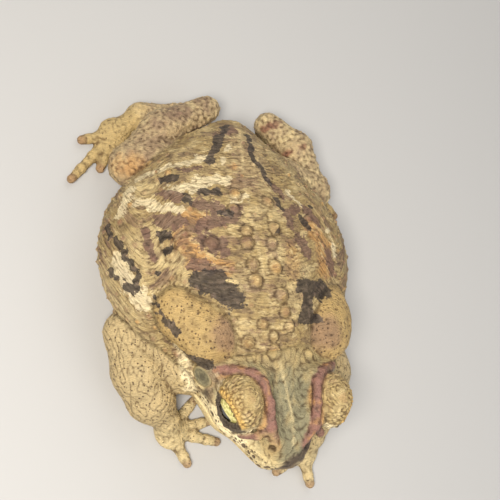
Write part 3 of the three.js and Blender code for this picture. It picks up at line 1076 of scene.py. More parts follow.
class Tint(Enum):
    """A colour of the skin, as linear red, green and blue."""

    OLIVE = (0.4, 0.29, 0.125)
    CREAM = (0.72, 0.58, 0.31)
    WHITE = (0.88, 0.75, 0.47)
    YELLOW = (0.41, 0.275, 0.105)
    GOLD = (0.62, 0.39, 0.11)
    ORANGE = (0.5, 0.27, 0.09)
    RUST = (0.26, 0.125, 0.07)
    PURPLE = (0.19, 0.105, 0.075)
    PINK = (0.25, 0.125, 0.095)
    BROWN = (0.16, 0.1, 0.06)
    DARK = (0.06, 0.042, 0.028)
    GREY = (0.23, 0.205, 0.12)
    BEIGE = (0.46, 0.35, 0.18)
    TAN = (0.46, 0.33, 0.14)
    DUN = (0.44, 0.325, 0.185)


@dataclass(frozen=True)
class Daub:
    """A soft patch of colour along a bent line on the skin, with its half width in mm."""

    tint: Tint
    width: float
    points: tuple[Point, ...]
    strength: float = 1.0

    def share(self, p: np.ndarray) -> np.ndarray:
        """Gives how much of the patch each point takes, from 0 to its strength."""
        away = line_distance(p, self.points)
        return self.strength * smooth_step(1.3 * self.width, 0.5 * self.width, away)


PALE_PATCHES = (
    (3.4, ((-35.0, 34.4, 37.9), (-29.5, 34.8, 39.7), (-23.2, 37.4, 40.4))),
    (2.8, ((-46.1, 30.5, 33.4), (-40.4, 27.7, 38.5), (-33.6, 25.9, 40.5))),
    (2.4, ((-44.4, 41.3, 27.0), (-31.2, 46.1, 33.6), (-18.9, 49.2, 36.8))),
    (2.6, ((-25.9, 38.4, 39.5), (-15.3, 38.5, 41.4))),
    (1.6, ((-9.3, 55.0, 35.5), (-9.9, 53.0, 36.2))),
    (1.6, ((-12.6, 48.8, 38.0), (-13.4, 46.0, 38.8))),
    (4.6, ((-53.8, 8.6, 30.0), (-51.5, 1.2, 30.2), (-46.7, -6.1, 31.6))),
    (2.6, ((-52.6, 26.5, 29.4), (-47.8, 36.8, 28.4))),
    (2.0, ((-14.0, 30.0, 43.2), (-8.0, 31.0, 44.0))),
    (1.8, ((17.0, 30.0, 41.0), (12.0, 36.0, 41.0))),
    (2.0, ((30.0, 22.0, 37.0), (32.0, 12.0, 37.0))),
)
PURPLE_PATCHES = (
    (3.4, ((-40.8, 22.4, 38.4), (-34.2, 21.1, 41.0))),
    (3.4, ((-27.4, 19.6, 43.2), (-19.0, 21.2, 44.9))),
    (3.0, ((-27.4, 28.6, 41.8), (-20.1, 26.1, 43.6))),
    (4.4, ((-26.5, 13.7, 44.1), (-21.5, 10.3, 45.3))),
    (3.0, ((-30.3, 5.4, 42.6), (-25.1, 3.0, 43.9))),
    (3.0, ((-33.5, 31.0, 39.6), (-38.0, 33.0, 37.0))),
    (3.2, ((-15.6, 22.0, 45.7), (-12.5, 26.0, 44.6))),
    (3.6, ((15.0, 11.0, 44.4), (13.0, 15.0, 45.0))),
    (2.4, ((9.0, 20.0, 45.3), (8.0, 26.5, 44.6), (14.0, 28.0, 42.4))),
    (2.6, ((24.0, 24.0, 39.6), (19.0, 29.0, 40.8))),
    (3.0, ((29.0, 6.0, 38.6), (28.0, 12.0, 39.4))),
    (2.4, ((-11.0, 62.0, 30.5), (-3.0, 64.0, 30.4))),
    (2.2, ((3.6, 40.0, 41.5), (9.0, 33.0, 42.4))),
    (2.0, ((-30.0, 43.0, 35.6), (-24.0, 43.6, 37.6))),
    (2.0, ((-46.0, 18.0, 36.3), (-44.0, 8.0, 37.6))),
)
DARK_BLOTCHES_AND_RIDGE_SHADE = (
    (4.6, ((-29.0, -1.2, 42.2), (-24.0, -3.5, 44.3))),
    (5.2, ((-22.5, -3.5, 44.6), (-18.0, -8.0, 45.8))),
    (3.0, ((-28.5, 0.5, 42.5), (-21.6, 0.2, 45.3))),
    (4.2, ((10.5, -3.5, 45.8), (16.3, -3.5, 43.7), (24.0, -3.0, 39.8))),
    (3.8, ((13.1, -7.0, 45.0), (13.2, -12.0, 44.1))),
    (2.6, ((9.9, -14.4, 44.8), (17.0, -14.6, 42.7))),
    (2.0, ((-5.6, 67.0, 27.5), (-12.1, 58.3, 33.0), (-16.5, 51.7, 35.9), (-19.0, 46.7, 37.7))),
    # Painted shade: a dark strip along the +x side of the ridge over the pelvis.
    (1.7, ((2.1, 62.0, 31.5), (-0.5, 50.7, 37.9), (2.0, 42.2, 41.4))),
    (2.5, ((-30.3, 29.8, 40.7),)),
    (2.2, ((-25.1, 32.9, 40.9), (-22.3, 34.0, 41.5), (-18.8, 32.7, 42.5))),
    (2.2, ((-37.6, 38.9, 34.6), (-32.6, 40.2, 36.2))),
    (2.7, ((-40.1, 16.1, 39.3), (-38.4, 11.0, 40.0))),
    (1.6, ((-18.8, 24.6, 44.5), (-15.9, 23.4, 45.3))),
    (1.9, ((4.7, 31.8, 43.9), (6.0, 28.0, 44.2))),
    (2.2, ((16.0, 24.9, 42.4), (18.0, 21.0, 42.6))),
    (1.7, ((22.4, 31.3, 39.0),)),
    (2.2, ((1.6, 18.7, 47.0),)),
    (1.6, ((1.4, 45.2, 39.7), (4.5, 38.0, 41.0))),
    (1.7, ((-56.0, 22.6, 25.4), (-55.6, 19.0, 27.0))),
    (1.6, ((-54.3, 17.3, 29.2), (-52.1, 10.4, 32.0), (-49.2, 5.0, 33.5))),
    (1.9, ((-55.7, 5.9, 26.3), (-54.5, 3.5, 27.5))),
    (2.0, ((-51.8, 0.2, 29.3), (-48.4, -2.0, 31.8), (-48.6, 2.2, 32.7))),
    (1.5, ((-42.5, 3.0, 37.2),)),
    (2.1, ((-39.8, -14.6, 36.6), (-36.9, -18.6, 37.9))),
    (1.3, ((-43.2, -5.1, 34.5), (-42.3, -10.5, 34.3), (-40.7, -14.3, 35.3))),
    (3.3, ((-31.8, -26.8, 33.6), (-29.6, -28.0, 36.4), (-27.0, -29.4, 37.4))),
)
DAUBS = (
    Daub(Tint.ORANGE, 3.2, ((-31.3, 24.0, 41.7), (-26.4, 22.0, 43.1)), 0.8),
    Daub(Tint.ORANGE, 4.0, ((-34.7, 15.8, 41.2), (-31.7, 10.4, 42.3), (-28.9, 6.3, 43.0)), 0.9),
    Daub(Tint.ORANGE, 3.5, ((-26.7, 4.9, 43.9), (-20.1, 3.4, 45.8)), 0.8),
    Daub(Tint.ORANGE, 1.8, ((-10.4, 44.6, 41.0),), 0.9),
    Daub(Tint.ORANGE, 5.0, ((20.2, 20.4, 41.9), (26.1, 14.6, 40.1), (25.0, 6.0, 40.5)), 0.8),
    Daub(Tint.ORANGE, 4.0, ((8.0, 10.0, 46.8), (7.0, 2.0, 47.2)), 0.4),
    Daub(Tint.DUN, 8.0, ((-4.0, 40.0, 42.0), (-1.0, 56.0, 34.0)), 0.5),
    Daub(Tint.PURPLE, 4.0, ((-8.0, 60.0, 32.0), (-5.0, 67.0, 28.0)), 0.5),
    Daub(Tint.ORANGE, 2.0, ((-3.0, 64.5, 31.0),), 0.8),
)
LATE_DAUBS = (
    Daub(Tint.CREAM, 6.5, ((22.0, 77.0, 16.0), (33.0, 62.0, 19.0), (38.0, 52.0, 16.0)), 0.2),
    Daub(Tint.TAN, 4.5, ((-9.0, -57.0, 43.0), (-5.5, -62.0, 41.0)), 0.6),
    Daub(Tint.RUST, 2.0, ((18.6, 73.6, 15.0), (25.0, 75.0, 17.5))),
    Daub(Tint.RUST, 2.2, ((26.1, 61.6, 17.5), (32.5, 64.5, 20.0))),
    Daub(Tint.ORANGE, 2.6, ((36.0, 70.0, 15.0), (43.0, 55.0, 12.0)), 0.7),
    Daub(Tint.ORANGE, 5.5, ((-44.0, 52.0, 14.0), (-41.0, 50.0, 18.0)), 0.7),
    Daub(Tint.PURPLE, 4.2, ((-20.0, 77.0, 20.0), (-31.0, 69.0, 19.0)), 0.6),
    Daub(Tint.PURPLE, 3.0, ((-12.0, 82.0, 18.0), (-9.0, 82.0, 18.0)), 0.5),
    Daub(Tint.BROWN, 2.6, ((-25.3, -37.2, 25.4), (-23.4, -40.1, 28.9), (-23.4, -38.4, 31.2)), 0.75),
    Daub(Tint.PINK, 3.4, ((-24.0, -34.0, 38.6), (-25.6, -38.0, 35.0)), 0.35),
    Daub(Tint.BROWN, 4.6, ((1.0, -66.0, 36.0), (9.0, -61.5, 38.6), (13.0, -56.0, 39.0)), 0.85),
    Daub(Tint.DARK, 2.6, ((0.0, -66.0, 38.0), (4.5, -64.0, 40.2), (9.0, -59.0, 41.0)), 0.8),
    Daub(Tint.BROWN, 2.4, ((23.9, -33.6, 40.0), (18.8, -35.0, 44.6)), 0.7),
    Daub(Tint.DARK, 2.6, ((-30.6, -29.4, 35.4), (-29.4, -31.4, 33.0)), 0.85),
    Daub(Tint.DARK, 2.3, ((-25.6, -38.2, 30.4), (-24.0, -39.4, 28.4)), 0.8),
    Daub(Tint.WHITE, 2.6, ((-33.6, -22.4, 31.0), (-30.6, -29.0, 27.5), (-27.0, -36.0, 22.5))),
    Daub(Tint.WHITE, 4.2, ((-21.9, -42.4, 24.4), (-19.3, -50.4, 29.4), (-14.6, -56.1, 32.8)), 0.9),
)


@dataclass
class Paint:
    """The broad colours of the skin and the amounts of its fine patterns, kept on its points."""

    form: Form
    relief: Relief

    def lay(self, mesh: bpy.types.Mesh) -> None:
        """Paints a skin mesh.

        Args:
            mesh: The finished skin.
        """
        p, n = points_of(mesh), normals_of(mesh)
        zones = Zones(self.form, p)
        noise = Noise(71)
        ragged = p + ragged_shift(p, noise)
        ground = self.ground(p, ragged, n, zones, noise)
        self.paint_warts(ground, p, zones)
        for name, patches in (("pale", PALE_PATCHES), ("purple", PURPLE_PATCHES), ("dark", DARK_BLOTCHES_AND_RIDGE_SHADE)):
            share = np.full(len(p), -1.0)
            for width, points in patches:
                share = np.maximum(share, 1 - line_distance(ragged, points) / width)
            store(mesh, name, share)
        trunk = zones["trunk"][:, None]
        store(mesh, "ground", np.column_stack([ground, np.ones(len(p))]))
        store(mesh, "flow", skin_flow(p) * trunk + p * [1.6, 1.0, 1.3] * (1 - trunk))
        store(mesh, "streak", np.clip(zones["trunk"] + 0.4 * zones["leg"], 0, 1))
        dots = zones["arm"] + 0.8 * zones["hand"] + 0.8 * zones["foot"] + zones["gland"] + 0.4 * zones["lid"]
        store(mesh, "dots", dots + 0.5 * zones["crest"])
        lip = smooth_step(4.8, 2.6, np.abs(self.form.mouth_depth(p) - 4.6)) * zones["head"]
        store(mesh, "spots", lip * smooth_step(-26, -34, p[:, 1]))
        # How sunk or raised each point is; the material turns it into painted shade in hollows and a painted
        # highlight on ridges and warts.
        hollow = hollowness(mesh, 2) * 5.5 + hollowness(mesh, 10) * 1.8
        store(mesh, "hollow", np.clip(hollow, -1, 1))
        rough = np.clip(zones["trunk"] + 1.2 * zones["leg"] + 0.5 * zones["arm"], 0, 1)
        store(mesh, "rough", rough * smooth_step(5, 10, p[:, 2]) * smooth_step(0.3, 1.0, room_left(p)))

    def ground(
        self, p: np.ndarray, ragged: np.ndarray, n: np.ndarray, zones: Zones, noise: Noise
    ) -> np.ndarray:
        """Mixes the parts' own colours and the daubs into one colour for each point.

        Args:
            p: The points, in mm.
            ragged: The points shifted by noise, which makes the edges of the daubs ragged.
            n: The outward directions there.
            zones: The parts that the points belong to.
            noise: A source of smooth random values.

        Returns:
            A linear colour for each point.
        """
        ground = np.tile(Tint.OLIVE.value, (len(p), 1))
        broad, middling = noise(p / 14), noise(p / 5 + 9)
        blend(ground, Tint.CREAM, 0.4 * smooth_step(-0.1, 0.5, broad))
        blend(ground, Tint.BROWN, 0.35 * smooth_step(0.0, 0.6, middling))
        blend(ground, Tint.CREAM, 0.5 * smooth_step(24, 10, p[:, 2]))
        for daub in DAUBS:
            blend(ground, daub.tint, daub.share(ragged))
        midline = np.abs(p[:, 0] - np.interp(p[:, 1], *SPINE_LINE))
        blend(ground, Tint.GREY, zones["head"] * smooth_step(-23, -40, p[:, 1] + 5 * middling))
        blend(ground, Tint.TAN, 0.4 * zones["head"] * smooth_step(0.0, 0.5, noise(p / [2.2, 6, 3])))
        blend(ground, Tint.CREAM, 0.5 * smooth_step(0.7, 0.2, midline) * (n[:, 2] > 0.3) * (p[:, 1] > -60))
        blend(ground, Tint.CREAM, zones["jaw"])
        above_mouth = self.form.mouth_depth(p)
        cheek = smooth_step(17, 9, above_mouth) * zones["head"] * smooth_step(0.85, 0.5, n[:, 2])
        blend(ground, Tint.CREAM, 0.9 * cheek)
        lip = smooth_step(3.6, 1.6, above_mouth) * zones["head"]
        blend(ground, Tint.GOLD, 0.5 * lip)
        edge = smooth_step(0.9, 0.5, np.abs(above_mouth - 0.4)) * (zones["head"] + zones["jaw"])
        blend(ground, Tint.DARK, 0.8 * edge * smooth_step(-28, -40, p[:, 1]))
        blend(ground, Tint.YELLOW, 0.85 * zones["gland"])
        for side in Side:
            gland_top = np.array([neck_x(-20) + side.value * 20, -20.0, 43.0])
            inner = np.linalg.norm(ragged - gland_top, axis=1)
            blend(ground, Tint.PURPLE, 0.65 * smooth_step(9.5, 4, inner) * zones["gland"])
            self.paint_eye_region(ground, p, side, zones, noise)
        blend(ground, Tint.BEIGE, zones["arm"])
        blend(ground, Tint.BEIGE, 0.9 * zones["hand"])
        blend(ground, Tint.CREAM, 0.5 * zones["hand"])
        blend(ground, Tint.DUN, 0.85 * zones["leg"])
        blend(ground, Tint.CREAM, 0.5 * zones["leg"] * smooth_step(0.05, 0.45, noise(p / 4.5 + 3)))
        blend(ground, Tint.PURPLE, 0.4 * zones["leg"] * smooth_step(0.1, 0.4, noise(p / 6 + 30)))
        blend(ground, Tint.TAN, 0.9 * zones["foot"])
        for daub in LATE_DAUBS:
            blend(ground, daub.tint, daub.share(ragged))
        self.paint_digit_tips(ground, p)
        return ground

    def paint_warts(self, ground: np.ndarray, p: np.ndarray, zones: Zones) -> None:
        """Colours the warts one by one, with a pale ring round each.

        Args:
            ground: The colours so far, changed in place.
            p: The points, in mm.
            zones: The parts that the points belong to.
        """
        cloud = Cloud(p)
        tints = (Tint.RUST, Tint.PINK, Tint.PURPLE, Tint.ORANGE, Tint.RUST)
        for i, (place, radius, _) in enumerate(self.relief.warts):
            index, away = cloud.around(place, 1.9 * radius)
            colors, share = ground[index], away / radius
            strength = (zones["trunk"][index] > 0.4) * (0.75 - 0.25 * (i % 3 == 0))
            blend(colors, Tint.CREAM, 0.35 * strength * np.exp(-(((share - 1.15) / 0.3) ** 2)))
            blend(colors, tints[i % len(tints)], strength * np.exp(-((share / 0.75) ** 4)))
            ground[index] = colors

    def paint_eye_region(
        self, ground: np.ndarray, p: np.ndarray, side: Side, zones: Zones, noise: Noise
    ) -> None:
        """Colours one eye's crest and lids, and the nostril on that side.

        Args:
            ground: The colours so far, changed in place.
            p: The points, in mm.
            side: The toad's side.
            zones: The parts that the points belong to.
            noise: A source of smooth random values.
        """
        crest, lid = self.form.crest(side)(p), self.form.lid(side)(p)
        off_lid = 1 - zones["lid"]
        between = smooth_step(3.2, 1.6, crest) * smooth_step(3.6, 2.2, lid) * off_lid
        blend(ground, Tint.ORANGE, 0.75 * between)
        on_crest = smooth_step(1.0, 0.6, crest) * off_lid
        blend(ground, Tint.PINK, on_crest)
        blend(ground, Tint.ORANGE, 0.5 * on_crest * smooth_step(0.1, 0.5, noise(p / 2.6)))
        blend(ground, Tint.PURPLE, 0.7 * on_crest * smooth_step(0.0, 0.4, noise(p / 1.7 + 20)))
        middle = p - np.array(on_head(side, self.form.lid_centre))
        on_lid = smooth_step(3.0, 1.5, lid) * zones["lid"]
        blend(ground, Tint.OLIVE, 0.9 * on_lid)
        blend(ground, Tint.CREAM, 0.35 * on_lid * smooth_step(0.1, -0.4, noise(p / 3.2 + 50)))
        blend(ground, Tint.RUST, 0.3 * on_lid * smooth_step(0.2, 0.5, noise(p / 2.1 + 60)))
        hole = self.form.eye_hole(side, p)
        height = middle @ self.form.looking(side)[1]
        near = np.linalg.norm(middle, axis=1) < 14
        upper = near * smooth_step(0.0, 1.5, height)
        blend(ground, Tint.GOLD, 0.85 * upper * smooth_step(2.3, 1.2, hole))
        lower = near * smooth_step(1.0, -0.5, height)
        blend(ground, Tint.WHITE, 0.9 * lower * smooth_step(4.6, 3.0, hole))
        blend(ground, Tint.DARK, 0.95 * lower * smooth_step(2.0, 1.5, hole))
        blend(ground, Tint.OLIVE, 0.45 * lower * np.exp(-(((hole - 1.3) / 0.2) ** 2)))
        # Painted shade: the inner faces of the eye's opening, between the lid's edge and the eyeball, made
        # dark.
        blend(ground, Tint.DARK, 0.9 * near * smooth_step(0.25, 0.0, hole))
        nostril = np.linalg.norm(p - np.array(on_head(side, self.form.nostril_near)), axis=1)
        blend(ground, Tint.BROWN, 0.6 * smooth_step(3.0, 1.8, nostril))
        # Painted shade: the nostril's opening made dark.
        blend(ground, Tint.DARK, 0.9 * smooth_step(2.1, 1.3, nostril))

    def paint_digit_tips(self, ground: np.ndarray, p: np.ndarray) -> None:
        """Darkens the ends of fingers and toes.

        Args:
            ground: The colours so far, changed in place.
            p: The points, in mm.
        """
        for limb in POSE.values():
            for tip in (*limb.fingers, *limb.toes):
                away = np.linalg.norm(p - np.array([*tip, self.form.digit_z]), axis=1)
                blend(ground, Tint.RUST, 0.6 * smooth_step(2.8, 1.7, away))
                blend(ground, Tint.DARK, 0.4 * smooth_step(1.9, 1.2, away))


def ragged_shift(p: np.ndarray, noise: Noise) -> np.ndarray:
    """Gives a small random shift in mm for each point, smooth from point to point."""
    shifts = [1.5 * noise(p / 3.6 + 40 * i) + 0.5 * noise(p / 1.5 + 90 * i) for i in range(1, 4)]
    return np.stack(shifts, axis=1)


SPINE_LINE = ((-51, -36, -15, 6, 13, 21, 40, 66), (1.8, -0.7, -3.8, -6.9, -7.5, -8.1, -7.5, -1.5))


def blend(ground: np.ndarray, tint: Tint, share: np.ndarray) -> None:
    """Mixes a tint into colours in place, by a share from 0 to 1 for each point."""
    ground += np.clip(share, 0, 1)[:, None] * (np.array(tint.value) - ground)


@dataclass
class Skin:
    """The whole skin as one closed piece, with its folds, warts, wrinkles and markings."""

    form: Form = field(default_factory=Form)
    triangles: int = 192_000
    room_low: Point = (-66.0, -78.0, -1.5)
    room_high: Point = (62.0, 90.0, 54.0)
    quick_step: float = 0.8

    def build(self) -> bpy.types.Object:
        """Carves the flesh, moves its points into skin detail, thins it and paints it.

        Returns:
            The skin's piece.
        """
        carver = Carver()
        points, faces = carver.surface(self.form.skin, np.array(self.room_low), np.array(self.room_high))
        obj = mesh_object("skin", points, faces)
        log.info("skin carved: %d squares", len(faces))
        relief = Relief(self.form)
        p, n = points_of(obj.data), normals_of(obj.data)
        heights = relief.heights(p) * smooth_step(-0.3, 0.9, room_left(p))
        raised = p + heights[:, None] * n
        move_points(obj.data, np.clip(raised, *solids_box()))
        log.info("skin detailed")
        self.thin(obj)
        Paint(self.form, relief).lay(obj.data)
        obj.data.materials.append(SkinFinish().material())
        return obj

    def thin(self, obj: bpy.types.Object) -> None:
        """Takes points out of the flatter places, down to the number of triangles wanted.

        Args:
            obj: The skin.
        """
        ratio = self.triangles / (2 * len(obj.data.polygons))
        if ratio >= 1:
            return
        modifier = obj.modifiers.new("thin", "DECIMATE")
        modifier.ratio = ratio
        thinned = bpy.data.meshes.new_from_object(obj.evaluated_get(bpy.context.evaluated_depsgraph_get()))
        obj.modifiers.clear()
        obj.data = thinned
        thinned.shade_smooth()
        log.info("skin thinned to %d faces", len(thinned.polygons))


@dataclass
class Granules:
    """Small horny grains that stand all over the rougher skin, thickest on flanks and thighs."""

    skin: bpy.types.Object
    density: float = 160_000.0
    spacing: float = 1.1
    radius: float = 0.3
    seed: int = 7

    def build(self) -> bpy.types.Object:
        """Grows the grains on the skin.

        Returns:
            The grains as a piece of their own.
        """
        holder = bpy.data.objects.new("grain_holder", self.skin.data)
        bpy.context.scene.collection.objects.link(holder)
        modifier = holder.modifiers.new("grains", "NODES")
        modifier.node_group = tree = self.tree()
        values = {"Density": self.density, "Seed": self.seed}
        values |= {"Spacing": self.spacing * MM, "Radius": self.radius * MM}
        for socket in tree.interface.items_tree:
            if socket.name in values:
                modifier[socket.identifier] = values[socket.name]
        mesh = bpy.data.meshes.new_from_object(holder.evaluated_get(bpy.context.evaluated_depsgraph_get()))
        holder.modifiers.clear()
        bpy.data.objects.remove(holder)
        mesh.name = "skin_grains"
        mesh.shade_smooth()
        obj = bpy.data.objects.new("skin_grains", mesh)
        bpy.context.scene.collection.objects.link(obj)
        return obj

    def tree(self) -> bpy.types.GeometryNodeTree:
        """Builds the nodes that place, turn and size the grains.

        Returns:
            The tree, with its sizes as named inputs.
        """
        tree = bpy.data.node_groups.new("grains", "GeometryNodeTree")
        tree.interface.new_socket("Geometry", in_out="INPUT", socket_type="NodeSocketGeometry")
        for name in ("Density", "Spacing", "Radius"):
            tree.interface.new_socket(name, in_out="INPUT", socket_type="NodeSocketFloat")
        tree.interface.new_socket("Seed", in_out="INPUT", socket_type="NodeSocketInt")
        tree.interface.new_socket("Geometry", in_out="OUTPUT", socket_type="NodeSocketGeometry")
        make = tree.nodes.new
        start, end = make("NodeGroupInput").outputs, make("NodeGroupOutput").inputs
        rough = make("GeometryNodeInputNamedAttribute")
        rough.inputs["Name"].default_value = "rough"
        scatter = make("GeometryNodeDistributePointsOnFaces")
        scatter.distribute_method = "POISSON"
        grain = make("GeometryNodeMeshUVSphere")
        grain.inputs["Segments"].default_value, grain.inputs["Rings"].default_value = 6, 4
        size = make("FunctionNodeRandomValue")
        size.inputs[2].default_value, size.inputs[3].default_value = 0.45, 1.25
        spread = make("GeometryNodeInstanceOnPoints")
        realize, finish = make("GeometryNodeRealizeInstances"), make("GeometryNodeSetMaterial")
        finish.inputs["Material"].default_value = SkinFinish().material()
        for source, target in (
            (start["Geometry"], scatter.inputs["Mesh"]),
            (start["Density"], scatter.inputs["Density Max"]),
            (start["Spacing"], scatter.inputs["Distance Min"]),
            (rough.outputs["Attribute"], scatter.inputs["Density Factor"]),
            (start["Seed"], scatter.inputs["Seed"]),
            (start["Radius"], grain.inputs["Radius"]),
            (start["Seed"], size.inputs["Seed"]),
            (scatter.outputs["Points"], spread.inputs["Points"]),
            (grain.outputs["Mesh"], spread.inputs["Instance"]),
            (scatter.outputs["Rotation"], spread.inputs["Rotation"]),
            (size.outputs[1], spread.inputs["Scale"]),
            (spread.outputs["Instances"], realize.inputs["Geometry"]),
            (realize.outputs["Geometry"], finish.inputs["Geometry"]),
            (finish.outputs["Geometry"], end["Geometry"]),
        ):
            tree.links.new(source, target)
        return tree


# Finishes


@dataclass
class Graph:
    """A shader tree that nodes are added to."""

    tree: bpy.types.NodeTree

    def add(self, kind: str, inputs: dict | None = None, **settings: object) -> bpy.types.Node:
        """Adds a node.

        Args:
            kind: The node's type, without the words ShaderNode in front.
            inputs: Values or sockets by the name or number of the input that they feed.
            **settings: The node's own settings.

        Returns:
            The new node.
        """
        node = self.tree.nodes.new("ShaderNode" + kind)
        for key, value in settings.items():
            setattr(node, key, value)
        for key, value in (inputs or {}).items():
            self.feed(node.inputs[key], value)
        return node

    def feed(self, socket: Socket, value: object) -> None:
        """Sets an input to a value, or links a socket to it.

        Args:
            socket: The input.
            value: A number, a vector, a colour or another node's output.
        """
        if isinstance(value, Socket):
            self.tree.links.new(value, socket)
        else:
            socket.default_value = value

    def attribute(self, name: str, output: str = "Fac") -> Socket:
        """Reads an attribute of the mesh."""
        return self.add("Attribute", attribute_name=name).outputs[output]

    def math(self, operation: str, *values: object) -> Socket:
        """Works out one number from others."""
        return self.add("Math", dict(enumerate(values)), operation=operation).outputs[0]

    def rise(self, value: object, low: float, high: float) -> Socket:
        """Rises smoothly from 0 at low to 1 at high."""
        inputs = {"Value": value, "From Min": low, "From Max": high}
        return self.add("MapRange", inputs, interpolation_type="SMOOTHSTEP").outputs[0]

    def mix(self, share: object, a: object, b: object, way: str = "MIX") -> Socket:
        """Mixes two colours.

        Args:
            share: How much of the second colour is taken, from 0 to 1.
            a: The first colour.
            b: The second colour.
            way: How the two are mixed.

        Returns:
            The mixed colour.
        """
        node = self.add("Mix", data_type="RGBA", blend_type=way)
        for index, value in ((0, share), (6, a), (7, b)):
            self.feed(node.inputs[index], value)
        return node.outputs[2]

    def scaled(self, vector: Socket, by: Point | float) -> Socket:
        """Multiplies a vector by one number, or by one for each axis."""
        by = by if isinstance(by, tuple) else (by, by, by)
        return self.add("VectorMath", {0: vector, 1: by}, operation="MULTIPLY").outputs[0]

    def noise(self, vector: Socket, detail: float = 2.0, rough: float = 0.5) -> Socket:
        """Gives smooth random values from 0 to 1, about one swing to each unit."""
        inputs = {"Vector": vector, "Scale": 1.0, "Detail": detail, "Roughness": rough}
        return self.add("TexNoise", inputs).outputs[0]

    def darken(self, share: object, color: Socket, by: Point) -> Socket:
        """Multiplies a colour by another, as far as a share from 0 to 1 says."""
        return self.mix(share, color, self.mix(1.0, color, (*by, 1), "MULTIPLY"))

    def place(self) -> Socket:
        """Gives the place on the toad, in mm."""
        return self.scaled(self.add("TexCoord").outputs["Object"], 1 / MM)

    def group(self, tree: bpy.types.NodeTree, inputs: dict) -> Socket:
        """Adds a shared effect.

        Args:
            tree: The effect's node group.
            inputs: Values or sockets by the name of the input that they feed.

        Returns:
            The effect's result.
        """
        node = self.tree.nodes.new("ShaderNodeGroup")
        node.node_tree = tree
        for key, value in inputs.items():
            self.feed(node.inputs[key], value)
        return node.outputs[0]


def shared_effect(name: str, inputs: dict[str, float], output: str) -> tuple[bpy.types.NodeTree, Graph, dict]:
    """Starts a shader node group with a vector, some numbers and one result.

    Args:
        name: The group's name.
        inputs: The numbers' names and usual values.
        output: The result's name.

    Returns:
        The group, a graph to fill it with, and its inputs' sockets by name, with "out" for the result.
    """
    tree = bpy.data.node_groups.new(name, "ShaderNodeTree")
    tree.interface.new_socket("Vector", in_out="INPUT", socket_type="NodeSocketVector")
    for key, value in inputs.items():
        tree.interface.new_socket(key, in_out="INPUT", socket_type="NodeSocketFloat").default_value = value
    tree.interface.new_socket(output, in_out="OUTPUT", socket_type="NodeSocketFloat")
    start, end = tree.nodes.new("NodeGroupInput"), tree.nodes.new("NodeGroupOutput")
    sockets = {socket.name: socket for socket in start.outputs if socket.name}
    return tree, Graph(tree), {**sockets, "out": end.inputs[0]}


def speckle_effect() -> bpy.types.NodeTree:
    """Round dark dots of uneven size, as a mask.

    Returns:
        The node group, made on the first call.
    """
    if "speckle" in bpy.data.node_groups:
        return bpy.data.node_groups["speckle"]
    tree, g, io = shared_effect("speckle", {"Spacing": 2.0, "Size": 0.2}, "Mask")
    place = g.add("VectorMath", {0: io["Vector"], 3: g.math("DIVIDE", 1.0, io["Spacing"])}, operation="SCALE")
    cells = g.add("TexVoronoi", {"Vector": place.outputs[0], "Scale": 1.0})
    luck = g.add("SeparateColor", {0: cells.outputs["Color"]}).outputs[0]
    size = g.math("MULTIPLY", io["Size"], g.math("ADD", 0.4, luck))
    edge = g.math("DIVIDE", g.math("SUBTRACT", size, cells.outputs["Distance"]), 0.07)
    g.feed(io["out"], g.add("Clamp", {0: edge}).outputs[0])
    return tree


def wrinkle_effect() -> bpy.types.NodeTree:
    """Thin creases between flat islands of skin, as a mask.

    Returns:
        The node group, made on the first call.
    """
    if "wrinkle" in bpy.data.node_groups:
        return bpy.data.node_groups["wrinkle"]
    tree, g, io = shared_effect("wrinkle", {"Spacing": 1.0, "Sharpness": 5.0}, "Mask")
    place = g.add("VectorMath", {0: io["Vector"], 3: g.math("DIVIDE", 1.0, io["Spacing"])}, operation="SCALE")
    swing = g.math("ABSOLUTE", g.math("SUBTRACT", g.noise(place.outputs[0], 1.5), 0.5))
    crease = g.math("SUBTRACT", 1.0, g.math("MULTIPLY", swing, io["Sharpness"]))
    g.feed(io["out"], g.math("MAXIMUM", crease, 0.0))
    return tree


